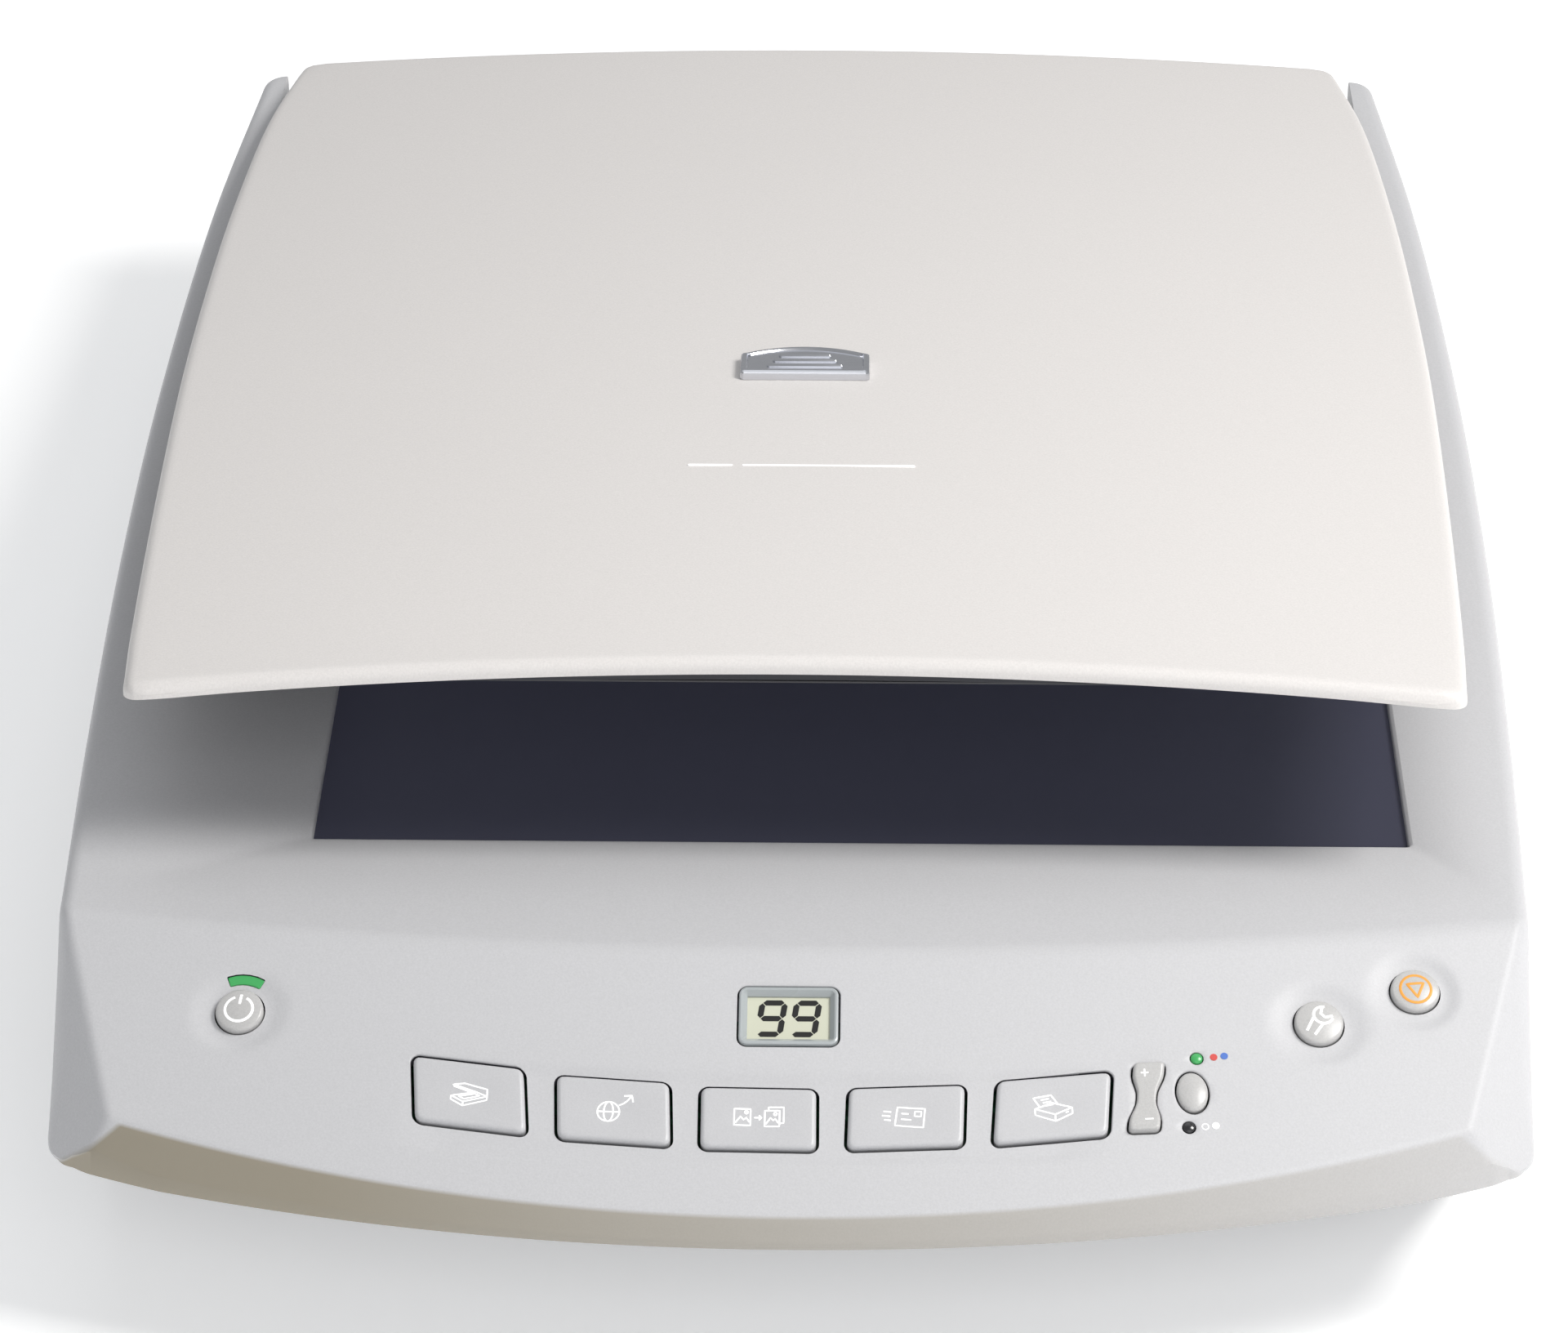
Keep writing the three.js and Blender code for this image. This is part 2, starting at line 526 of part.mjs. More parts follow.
// ---- feet and screws ---------------------------------------------------------------------------
const FEET = [
  ["front_left", -105, -150],
  ["front_right", 105, -150],
  ["rear_left", -115, 190],
  ["rear_right", 115, 190],
];

function foot(x, y) {
  const profile = [[0, 0], [8, 0], [9, 1], [9, FOOT_H], [0, FOOT_H]].map(([r, z]) => new THREE.Vector2(r, z));
  return new THREE.LatheGeometry(profile, 20).rotateX(Math.PI / 2).translate(x, y, 0);
}

function caseScrew(x, y) {
  const head = rodSolid("z", 3.5, 9.5, 12.5, [x, y], 14);
  const shank = rodSolid("z", 1.5, 12, 38, [x, y], 10);
  return geometryOf(join(head, shank));
}

// ---- lid ---------------------------------------------------------------------------------------
function lidOutline(inset) {
  const last = LID_SIDE.length - 1;
  const shift = (i) => (i === last ? inset : i ? 0 : -inset);
  const right = LID_SIDE.map(([x, y], i) => new THREE.Vector2(x - inset, y + shift(i)));
  const left = right.map((p) => new THREE.Vector2(-p.x, p.y));
  const front = LID_FRONT_Y + inset;
  const shape = new THREE.Shape().moveTo(left[0].x, left[0].y);
  shape.splineThru(left.slice(1)).lineTo(left[last].x + 3, front);
  shape.quadraticCurveTo(0, front + 2 * LID_BOW, right[last].x - 3, front);
  shape.lineTo(right[last].x, right[last].y);
  return shape.splineThru(right.slice(0, -1).reverse());
}

// Everything under the lid's crown, whose top line is at the given height.
function crown(top) {
  const half = 150;
  const reach = Math.asin(half / LID_CROWN_R);
  const shape = new THREE.Shape();
  shape.moveTo(-half, 20).lineTo(half, 20);
  shape.absarc(0, top - LID_CROWN_R, LID_CROWN_R, Math.PI / 2 - reach, Math.PI / 2 + reach, false);
  return solid(extrudeY(shape, -240, 260, 6));
}

const lidNotch = (side, z1, halfX, y0) => {
  const x = side * HINGE.postX;
  return box(x - halfX, x + halfX, y0, 240, 60, z1);
};

// A crowned skin, whose side and front edges follow the crown.
function lidCover() {
  const shell = solid(extrudeZ(lidOutline(0), LID_Z, 90, 2)).intersect(crown(LID_TOP_Z));
  const under = crown(LID_TOP_Z - LID_SKIN);
  return geometryOf(cut(shell, under, ...[-1, 1].map((s) => lidNotch(s, 71, 17, 203))));
}

const LINER = { z0: 66.6, z1: 68.2, wall: 2.4 };

// A tray under the cover, whose rim rises to the crown and whose lugs hold the hinge pins.
function lidLiner() {
  const outer = solid(extrudeZ(lidOutline(LINER_INSET), LINER.z0, 90, 2));
  const inner = solid(extrudeZ(lidOutline(LINER_INSET + LINER.wall), LINER.z1, 95, 2));
  let body = cut(outer.intersect(crown(LID_TOP_Z - LID_SKIN - GAP)), inner);
  body = cut(body, ...[-1, 1].map((s) => lidNotch(s, 90, 12.2, 208.6)));
  for (const side of [-1, 1]) {
    for (const end of [-1, 1]) {
      const x = side * HINGE.postX + end * 14;
      body = join(body, box(x - 1.6, x + 1.6, 205, HINGE.y + 4, 62.8, 69.7));
    }
    const x = side * HINGE.postX;
    body = cut(body, rodSolid("x", HINGE.boreR, x - 20, x + 20, [HINGE.y, HINGE.z], 24));
  }
  return geometryOf(body);
}

const hingePin = (side) =>
  rod("x", HINGE.pinR, side * HINGE.postX - 15.6, side * HINGE.postX + 15.6, [HINGE.y, HINGE.z], 24);

const lidPad = () =>
  boxGeometry(GLASS.x0 + 3, GLASS.x1 - 3, GLASS.y0 + 3, GLASS.y1 - 3, 63.2, LINER.z0 - GAP);
const lidSheet = () =>
  boxGeometry(GLASS.x0 + 2.5, GLASS.x1 - 2.5, GLASS.y0 + 2.5, GLASS.y1 - 2.5, 62.4, 62.9);

// The plain arched plate that stands on the middle of the lid.
const BADGE = { y: 10.5, halfX: 14.2, halfY: 7.5, shoulder: 3, r: 24.7, thick: 2 };

function badge() {
  const { y, halfX, halfY, shoulder, r, thick } = BADGE;
  const reach = Math.asin(halfX / r);
  const shape = new THREE.Shape();
  shape.moveTo(-halfX, -halfY).lineTo(halfX, -halfY).lineTo(halfX, shoulder);
  shape.absarc(0, halfY - r, r, Math.PI / 2 - reach, Math.PI / 2 + reach, false);
  return extrudeZ(shape, LID_TOP_Z + GAP, LID_TOP_Z + GAP + thick, 6).translate(0, y, 0);
}

function hingePost(side) {
  const x = side * HINGE.postX;
  const { halfX, halfY, z0 } = POST;
  const body = box(x - halfX, x + halfX, HINGE.y - halfY, HINGE.y + halfY, z0, HINGE.z);
  const head = rodSolid("x", halfY, x - halfX, x + halfX, [HINGE.y, HINGE.z], 24);
  const bore = rodSolid("x", HINGE.boreR, x - 20, x + 20, [HINGE.y, HINGE.z], 24);
  return geometryOf(cut(join(body, head), bore));
}

// ---- assembly ----------------------------------------------------------------------------------
const scanner = new THREE.Group();

function addCase() {
  scanner.add(mesh("bottom_housing", bottomHousing(), MAT.plinth));
  scanner.add(mesh("top_housing", topHousing(), MAT.case));
  scanner.add(mesh("scan_glass", scanGlass(), MAT.glass));
  scanner.add(mesh("calibration_strip", calibrationStrip(), MAT.white));
  FEET.forEach(([place, x, y]) => scanner.add(mesh(`foot_${place}`, foot(x, y), MAT.rubber)));
  SCREWS.forEach(([x, y], i) => scanner.add(mesh(`case_screw_${i + 1}`, caseScrew(x, y), MAT.steel)));
}

function addElectronics() {
  scanner.add(mesh("main_board", mainBoard(), MAT.board), mesh("panel_board", panelBoard(), MAT.board));
  scanner.add(mesh("power_jack", powerJack(), MAT.dark), mesh("usb_port", usbPort(), MAT.steel));
  scanner.add(mesh("display_panel", displayPanel(), MAT.lens));
  scanner.add(mesh("display_lens", displayLens(), MAT.glass));
  scanner.add(mesh("power_light", powerLight(), MAT.green));
  LIGHTS.forEach((k, i) => scanner.add(mesh(k.name, roundLight(k), i ? MAT.smoke : MAT.green)));
}

function addButtons() {
  KEYS.forEach((k) => scanner.add(mesh(k.name, key(k), MAT.panelKey)));
  ROUNDS.forEach((k) => scanner.add(mesh(k.name, roundKey(k), MAT.panelKey)));
  scanner.add(mesh(ROCKER.name, rocker(), MAT.panelKey));
}

function addCarriage() {
  scanner.add(mesh("carriage_housing", carriageHousing(), MAT.dark), mesh("lamp_tube", lampTube(), MAT.lamp));
  MIRRORS.forEach(([at, turn], i) => scanner.add(mesh(`mirror_${i + 1}`, mirror(at, turn), MAT.mirror)));
  scanner.add(mesh("lens_barrel", lensBarrel(), MAT.dark), mesh("sensor_board", sensorBoard(), MAT.board));
  [-14, 14].forEach((y, i) => scanner.add(mesh(`rod_bush_${i + 1}`, rodBush(y), MAT.nylon)));
  scanner.add(mesh("belt_clamp", beltClamp(), MAT.nylon));
}

function addDrive() {
  scanner.add(mesh("guide_rod", rod("y", ROD.r, ROD.y0, ROD.y1, [ROD.x, ROD.z], 20), MAT.steel));
  scanner.add(mesh("stepper_motor", stepperMotor(), MAT.steel), mesh("motor_gear", motorGear(), MAT.brass));
  scanner.add(mesh("drive_gear", driveGear(), MAT.nylon), mesh("idler_pulley", idlerPulley(), MAT.nylon));
  scanner.add(mesh("idler_bracket", idlerBracket(), MAT.steel));
  scanner.add(mesh("tension_spring", tensionSpring(), MAT.steel));
  scanner.add(mesh("drive_belt", driveBelt(), MAT.rubber));
}

// The lid is built closed, then tipped about its pins to where it is propped.
function addLid() {
  const lid = new THREE.Group();
  lid.add(mesh("lid_cover", lidCover(), MAT.case), mesh("lid_liner", lidLiner(), MAT.white));
  lid.add(mesh("lid_pad", lidPad(), MAT.pad), mesh("lid_sheet", lidSheet(), MAT.white));
  lid.add(mesh("badge", badge(), MAT.chrome));
  const hinge = new THREE.Group();
  lid.position.set(0, -HINGE.y, -HINGE.z);
  hinge.position.set(0, HINGE.y, HINGE.z);
  hinge.rotation.x = -LID_REST;
  [["left", -1], ["right", 1]].forEach(([name, side]) => {
    lid.add(mesh(`hinge_pin_${name}`, hingePin(side), MAT.steel));
    scanner.add(mesh(`hinge_post_${name}`, hingePost(side), MAT.plinth));
  });
  hinge.add(lid);
  scanner.add(hinge);
}

addCase();
addElectronics();
addButtons();
addCarriage();
addDrive();
addLid();

export default scanner;
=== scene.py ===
"""A desktop flatbed scanner: its moulded case and lid, control panel, prints and finishes.

Lengths in the classes are millimetres in the frame of the part: +X to the right, the control
panel towards -Y, the feet on z = 0. Meshes are made in metres.
"""

import json
import logging
import math
from dataclasses import dataclass, field
from enum import Enum
from typing import Any, Callable, Iterable, Optional, Sequence

import bpy
import bmesh
from mathutils import Matrix, Vector

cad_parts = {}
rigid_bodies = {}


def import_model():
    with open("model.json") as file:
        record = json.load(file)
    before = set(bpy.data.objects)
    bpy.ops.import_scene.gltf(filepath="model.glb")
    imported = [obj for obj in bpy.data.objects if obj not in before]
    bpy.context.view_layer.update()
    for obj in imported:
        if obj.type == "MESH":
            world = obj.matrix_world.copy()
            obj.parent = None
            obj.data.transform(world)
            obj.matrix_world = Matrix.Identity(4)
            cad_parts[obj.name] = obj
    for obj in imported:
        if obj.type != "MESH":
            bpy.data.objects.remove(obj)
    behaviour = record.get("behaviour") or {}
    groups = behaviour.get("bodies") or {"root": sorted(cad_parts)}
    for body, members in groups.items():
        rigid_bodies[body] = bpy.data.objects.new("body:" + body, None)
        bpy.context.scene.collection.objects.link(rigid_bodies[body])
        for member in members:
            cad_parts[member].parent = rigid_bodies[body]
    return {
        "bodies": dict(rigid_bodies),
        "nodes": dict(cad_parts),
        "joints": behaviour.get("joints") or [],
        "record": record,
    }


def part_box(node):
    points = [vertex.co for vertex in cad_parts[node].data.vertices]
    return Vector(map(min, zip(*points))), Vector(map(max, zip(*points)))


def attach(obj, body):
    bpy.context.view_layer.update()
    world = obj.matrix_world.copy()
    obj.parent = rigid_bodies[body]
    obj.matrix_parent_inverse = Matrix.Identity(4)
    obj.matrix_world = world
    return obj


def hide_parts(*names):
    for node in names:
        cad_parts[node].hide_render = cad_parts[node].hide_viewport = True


log = logging.getLogger("scanner")

MM = 0.001
Colour = tuple[float, float, float]
Point = tuple[float, float]
Height = Callable[[float, float], float]
Row = Callable[[float], float]


# ---- small maths -------------------------------------------------------------------------------
def clamp(value: float, low: float = 0.0, high: float = 1.0) -> float:
    """Keeps a value between two others."""
    return max(low, min(high, value))


def ease(value: float) -> float:
    """A smooth step from 0 to 1."""
    t = clamp(value)
    return t * t * (3.0 - 2.0 * t)


def soft_min(a: float, b: float, width: float) -> float:
    """The lower of two surfaces, with the crease between them rounded over a height."""
    h = max(width - abs(a - b), 0.0) / width
    return min(a, b) - h * h * width / 4.0


def soft_max(a: float, b: float, width: float) -> float:
    """The higher of two surfaces, with the crease between them rounded over a height."""
    return -soft_min(-a, -b, width)


def round_over(depth: float, radius: float) -> float:
    """How far a surface drops at a depth inside an edge that is rounded to a radius."""
    if depth >= radius:
        return 0.0
    lack = radius - max(depth, 0.0)
    return radius - math.sqrt(max(radius * radius - lack * lack, 0.0))


def spread(low: float, high: float, step: float) -> list[float]:
    """Evenly spaced values from low to high, no further apart than a step."""
    count = max(1, math.ceil((high - low) / step))
    return [low + (high - low) * i / count for i in range(count + 1)]


def squircle(a: float, b: float) -> Point:
    """Maps the corner of a unit square onto a quarter disc."""
    return a * math.sqrt(1.0 - b * b / 2.0), b * math.sqrt(1.0 - a * a / 2.0)


def both_ways(values: Iterable[float]) -> list[float]:
    """The values and their mirror images, in rising order."""
    found = {round(v, 5) for v in values}
    return sorted(found | {-v for v in found})


# ---- modelling moves ---------------------------------------------------------------------------
class Bench:
    """The editing moves that the pieces share."""

    @staticmethod
    def clear() -> None:
        """Leaves edit mode and deselects everything."""
        if bpy.context.object and bpy.context.object.mode == "EDIT":
            bpy.ops.object.mode_set(mode="OBJECT")
        bpy.ops.object.select_all(action="DESELECT")

    @staticmethod
    def hold(obj: bpy.types.Object) -> None:
        """Makes one object the selected and active one."""
        Bench.clear()
        obj.select_set(True)
        bpy.context.view_layer.objects.active = obj

    @staticmethod
    def move_selected(change: Callable[[Vector], Vector]) -> None:
        """Moves the selected vertices of the mesh in edit mode.

        Args:
            change: gives a vertex's new place from its old one, in metres.
        """
        mesh = bpy.context.object.data
        edit = bmesh.from_edit_mesh(mesh)
        for vertex in edit.verts:
            if vertex.select:
                vertex.co = change(vertex.co)
        bmesh.update_edit_mesh(mesh)

    @staticmethod
    def relief(
        name: str,
        columns: Sequence[float],
        rows: int,
        place: Callable[[float, int], Vector],
        drop: Optional[Callable[[Vector], Vector]] = None,
        up: bool = True,
    ) -> bpy.types.Object:
        """A grid shaped point by point, whose rim is then drawn down into a closed block.

        Args:
            name: the piece's name.
            columns: where each column lies across the piece.
            rows: how many rows there are.
            place: gives a point in millimetres from its column's value and its row's number.
            drop: gives a rim point's lower end in millimetres, or None for an open sheet.
            up: whether the shaped face looks up.

        Returns:
            The new object.
        """
        Bench.clear()
        across = len(columns) - 1
        bpy.ops.mesh.primitive_grid_add(x_subdivisions=across, y_subdivisions=rows - 1, size=2)
        obj = bpy.context.object
        obj.name = obj.data.name = name
        for vertex in obj.data.vertices:
            i = round((vertex.co.x + 1.0) / 2.0 * across)
            j = round((vertex.co.y + 1.0) / 2.0 * (rows - 1))
            vertex.co = place(columns[i], j) * MM
        bpy.ops.object.mode_set(mode="EDIT")
        if drop is not None:
            bpy.ops.mesh.select_all(action="SELECT")
            bpy.ops.mesh.region_to_loop()
            bpy.ops.mesh.extrude_edges_move()
            Bench.move_selected(lambda co: drop(co / MM) * MM)
            bpy.ops.mesh.edge_face_add()
        bpy.ops.mesh.select_all(action="SELECT")
        bpy.ops.mesh.normals_make_consistent(inside=False)
        bpy.ops.object.mode_set(mode="OBJECT")
        if drop is None and not up:
            obj.data.flip_normals()
        return obj

    @staticmethod
    def stack(name: str, rings: Sequence[Sequence[Vector]]) -> bpy.types.Object:
        """A closed block that passes through rings of points, one above the other.

        Args:
            name: the piece's name.
            rings: rings with the same number of points, in millimetres.

        Returns:
            The new object.
        """
        Bench.clear()
        bpy.ops.mesh.primitive_circle_add(vertices=len(rings[0]), radius=1, fill_type="NGON")
        obj = bpy.context.object
        obj.name = obj.data.name = name
        place = obj.data.attributes.new("place", "INT", "POINT")
        for index, (vertex, point) in enumerate(zip(obj.data.vertices, rings[0])):
            vertex.co = point * MM
            place.data[index].value = index
        bpy.ops.object.mode_set(mode="EDIT")
        bpy.ops.mesh.select_all(action="SELECT")
        for ring in rings[1:]:
            bpy.ops.mesh.extrude_region_move()
            edit = bmesh.from_edit_mesh(obj.data)
            layer = edit.verts.layers.int["place"]
            for vertex in edit.verts:
                if vertex.select:
                    vertex.co = ring[vertex[layer]] * MM
            bmesh.update_edit_mesh(obj.data)
        bpy.ops.mesh.select_all(action="SELECT")
        bpy.ops.mesh.normals_make_consistent(inside=False)
        bpy.ops.object.mode_set(mode="OBJECT")
        obj.data.attributes.remove(obj.data.attributes["place"])
        return obj

    @staticmethod
    def prism(
        name: str,
        outline: Callable[[float], Sequence[Point]],
        levels: Sequence[Point],
        frame: Optional[Matrix] = None,
    ) -> bpy.types.Object:
        """A block with the same outline at every level, grown or shrunk from one to the next.

        Args:
            name: the piece's name.
            outline: gives the outline's points for an amount of growth.
            levels: pairs of height and growth, from the lowest up.
            frame: where the block's own axes lie, or None for the part's.

        Returns:
            The new object.
        """
        rings = [[Vector((x, y, z)) for x, y in outline(grow)] for z, grow in levels]
        obj = Bench.stack(name, rings)
        if frame is not None:
            obj.data.transform(frame)
        return obj

    @staticmethod
    def apply(obj: bpy.types.Object, kind: str, **settings: Any) -> None:
        """Adds a modifier with its settings and applies it."""
        Bench.hold(obj)
        modifier = obj.modifiers.new(kind.title(), kind)
        for key, value in settings.items():
            setattr(modifier, key, value)
        bpy.ops.object.modifier_apply(modifier=modifier.name)

    @staticmethod
    def carve(obj: bpy.types.Object, cutters: Sequence[bpy.types.Object], clear: bool = True) -> None:
        """Cuts blocks out of an object, and removes them.

        Args:
            obj: the object that is cut.
            cutters: the blocks.
            clear: whether the blocks stand clear of each other.
        """
        tool = Bench.merge(list(cutters), "cutter")
        settings = {"operation": "DIFFERENCE", "solver": "EXACT", "use_self": not clear}
        Bench.apply(obj, "BOOLEAN", object=tool, **settings)
        bpy.data.objects.remove(tool)

    @staticmethod
    def merge(pieces: Sequence[bpy.types.Object], name: str) -> bpy.types.Object:
        """Joins objects into one mesh with a name."""
        Bench.clear()
        for piece in pieces:
            piece.select_set(True)
        bpy.context.view_layer.objects.active = pieces[0]
        if len(pieces) > 1:
            bpy.ops.object.join()
        obj = bpy.context.object
        obj.name = obj.data.name = name
        return obj

    @staticmethod
    def weld(obj: bpy.types.Object) -> None:
        """Merges vertices that coincide and turns the faces outwards."""
        Bench.hold(obj)
        bpy.ops.object.mode_set(mode="EDIT")
        bpy.ops.mesh.select_all(action="SELECT")
        bpy.ops.mesh.remove_doubles(threshold=1e-7)
        bpy.ops.mesh.normals_make_consistent(inside=False)
        bpy.ops.object.mode_set(mode="OBJECT")

    @staticmethod
    def smooth(obj: bpy.types.Object, degrees: float = 32.0) -> None:
        """Shades an object smooth, with edges sharper than an angle left crisp."""
        Bench.hold(obj)
        bpy.ops.object.shade_smooth_by_angle(angle=math.radians(degrees))


# ---- shader nodes ------------------------------------------------------------------------------
class Wire:
    """A number's socket, on which sums and products add Math nodes."""

    def __init__(self, tree: "Tree", socket: bpy.types.NodeSocket) -> None:
        """Wraps an output socket of a node in a tree."""
        self.tree = tree
        self.socket = socket

    def _math(self, operation: str, left: Any, right: Any) -> "Wire":
        """Adds a Math node for two numbers or wires."""
        node = self.tree.node("ShaderNodeMath", {"operation": operation}, {0: left, 1: right})
        return Wire(self.tree, node.outputs[0])

    def __add__(self, other: Any) -> "Wire":
        """This plus another."""
        return self._math("ADD", self, other)

    def __sub__(self, other: Any) -> "Wire":
        """This minus another."""
        return self._math("SUBTRACT", self, other)

    def __rsub__(self, other: Any) -> "Wire":
        """Another minus this."""
        return self._math("SUBTRACT", other, self)

    def __mul__(self, other: Any) -> "Wire":
        """This times another."""
        return self._math("MULTIPLY", self, other)

    def __gt__(self, other: Any) -> "Wire":
        """One where this is the greater, and zero elsewhere."""
        return self._math("GREATER_THAN", self, other)

    def size(self) -> "Wire":
        """This without its sign."""
        return self._math("ABSOLUTE", self, 0.0)

    def clamped(self) -> "Wire":
        """This, kept from 0 to 1."""
        node = self.tree.node("ShaderNodeClamp", {}, {"Value": self})
        return Wire(self.tree, node.outputs[0])

    __radd__ = __add__
    __rmul__ = __mul__


class Tree:
    """One material's nodes."""

    def __init__(self, name: str) -> None:
        """Starts a material that holds a plain shader."""
        self.material = bpy.data.materials.new(name)
        self.material.use_nodes = True
        self.nodes = self.material.node_tree.nodes
        self.shader = self.nodes["Principled BSDF"]
        self.where = self.node("ShaderNodeTexCoord").outputs["Object"]

    def node(
        self,
        kind: str,
        settings: Optional[dict[str, Any]] = None,
        inputs: Optional[dict[Any, Any]] = None,
    ) -> bpy.types.Node:
        """Adds a node.

        Args:
            kind: the node's type.
            settings: its properties, set first.
            inputs: values, sockets or wires for its inputs, by name or number.

        Returns:
            The new node.
        """
        made = self.nodes.new(kind)
        for key, value in (settings or {}).items():
            setattr(made, key, value)
        for key, value in (inputs or {}).items():
            self.feed(made.inputs[key], value)
        return made

    def feed(self, socket: bpy.types.NodeSocket, value: Any) -> None:
        """Gives an input a wire, another node's socket or a plain value."""
        if isinstance(value, Wire):
            self.material.node_tree.links.new(value.socket, socket)
        elif isinstance(value, bpy.types.NodeSocket):
            self.material.node_tree.links.new(value, socket)
        elif isinstance(value, tuple) and len(value) == 3 and len(socket.default_value) == 4:
            socket.default_value = (*value, 1.0)
        else:
            socket.default_value = value

    def noise(self, size: float, detail: float = 2.0, stretch: Optional[Colour] = None) -> Wire:
        """A noise from 0 to 1.

        Args:
            size: how wide its marks are, in metres.
            detail: how many finer layers it has.
            stretch: how much its marks are drawn out along each axis.

        Returns:
            The noise.
        """
        where = self.where
        if stretch is not None:
            scale = tuple(1.0 / s for s in stretch)
            where = self.node("ShaderNodeMapping", {}, {"Vector": where, "Scale": scale}).outputs[0]
        inputs = {"Vector": where, "Scale": 1.0 / size, "Detail": detail, "Roughness": 0.6}
        return Wire(self, self.node("ShaderNodeTexNoise", {}, inputs).outputs[0])

    def along(self, axis: int) -> Wire:
        """The place along an axis, in metres."""
        return Wire(self, self.node("ShaderNodeSeparateXYZ", {}, {0: self.where}).outputs[axis])

    def mix(self, factor: Any, a: Any, b: Any) -> bpy.types.NodeSocket:
        """A colour between two colours."""
        made = self.node("ShaderNodeMix", {"data_type": "RGBA"}, {0: factor, 6: a, 7: b})
        return made.outputs[2]

    def bump(self, height: Any, distance: float, strength: float = 1.0) -> None:
        """Dents the surface by a height, over a distance in metres."""
        inputs = {"Height": height, "Distance": distance, "Strength": strength}
        made = self.node("ShaderNodeBump", {}, inputs)
        self.feed(self.shader.inputs["Normal"], made.outputs[0])

    def set(self, **values: Any) -> None:
        """Feeds the shader's inputs, whose names are given with _ for a space."""
        for key, value in values.items():
            self.feed(self.shader.inputs[key.replace("_", " ")], value)


def shade(colour: Colour, amount: float) -> Colour:
    """A colour made lighter or darker by a factor."""
    return tuple(min(1.0, c * amount) for c in colour)  # type: ignore[return-value]


@dataclass(frozen=True)
class Moulding:
    """Fine-grained moulded plastic."""

    name: str
    tone: Colour
    roughness: float = 0.5
    speckle: float = 0.05
    grain: float = 0.00042
    texture: float = 0.00003
    coat: float = 0.0
    # Below this height the skirt is painted darker and warmer: painted shade with a painted warm reflection
    # of the floor.
    skirt_shade_below: float = 0.0

    def material(self) -> bpy.types.Material:
        """Makes the material: spark-textured grain, faint cloudiness, uneven gloss and, where a height is
        given, painted shade on the skirt.
        """
        tree = Tree(self.name)
        fine = tree.noise(self.grain, 3.0)
        cloud = tree.noise(0.045, 2.0)
        dark = shade(self.tone, 1.0 - self.speckle)
        light = shade(self.tone, 1.0 + self.speckle)
        grained = tree.mix(((fine - 0.5) * 2.6 + 0.5).clamped(), dark, light)
        clouded = tree.mix(cloud * 0.12, grained, shade(self.tone, 0.9))
        # Painted shade: the front skirt band, below a height that rises towards the sides and inside the
        # facets' mitres, is darkened towards brown. This stands in for its shade and the floor's warm
        # reflection, and it fades out towards the lit right side.
        if self.skirt_shade_below:
            across = tree.along(0)
            low = ((across * across * 0.333 + self.skirt_shade_below - tree.along(2)) * 1500.0).clamped()
            reach = (0.0462 - tree.along(2)) * 1.147 + 0.1293
            inner = ((reach - across.size()) * 700.0).clamped()
            right = ((across + 0.09) * 3.6).clamped()
            r, g, b = self.tone
            skirt_shade = (low * inner).clamped() * (1.0 - right)
            clouded = tree.mix(skirt_shade, clouded, (r * 0.56, g * 0.50, b * 0.38))
        tree.set(Base_Color=clouded, Roughness=self.roughness - 0.05 + fine * 0.1, Coat_Weight=self.coat)
        tree.bump(fine, self.texture, 0.6)
        return tree.material


@dataclass(frozen=True)
class Gloss:
    """Smooth plastic, glass or lacquer."""

    name: str
    tone: Colour
    roughness: float = 0.12
    coat: float = 0.6
    glow: float = 0.0
    specular: float = 0.5

    def material(self) -> bpy.types.Material:
        """Makes the material: deep colour under a clear face with faint smears."""
        tree = Tree(self.name)
        smear = tree.noise(0.02, 3.0, (1.0, 3.0, 1.0))
        tone = tree.mix(smear * 0.35, self.tone, shade(self.tone, 0.85))
        tree.set(Base_Color=tone, Roughness=self.roughness + smear * 0.05, Coat_Weight=self.coat)
        tree.set(Coat_Roughness=0.06, Specular_IOR_Level=self.specular)
        # A glow makes the surface emit its own colour. For the lit lights this is real light; for the
        # glass, the display cell and the inks it is painted light.
        if self.glow:
            tree.set(Emission_Color=self.tone, Emission_Strength=self.glow)
        return tree.material


@dataclass(frozen=True)
class Metal:
    """Ground, turned or plated metal."""

    name: str
    tone: Colour
    roughness: float = 0.3
    lay: Colour = (1.0, 18.0, 1.0)

    def material(self) -> bpy.types.Material:
        """Makes the material: fine tool marks drawn out along one axis."""
        tree = Tree(self.name)
        marks = tree.noise(0.0005, 3.0, self.lay)
        tone = tree.mix(marks, shade(self.tone, 0.86), self.tone)
        tree.set(Base_Color=tone, Metallic=1.0, Roughness=self.roughness + marks * 0.16)
        tree.bump(marks, 0.00001, 0.5)
        return tree.material


@dataclass(frozen=True)
class Rubber:
    """Dull black rubber."""

    name: str
    tone: Colour = (0.022, 0.022, 0.023)

    def material(self) -> bpy.types.Material:
        """Makes the material: a soft bloom and a pebbled surface."""
        tree = Tree(self.name)
        bloom = tree.noise(0.004, 4.0)
        pebble = tree.noise(0.0006, 2.0)
        tree.set(Base_Color=tree.mix(bloom, self.tone, shade(self.tone, 2.2)))
        tree.set(Roughness=0.72 + bloom * 0.2)
        tree.bump(pebble, 0.00008, 0.8)
        return tree.material


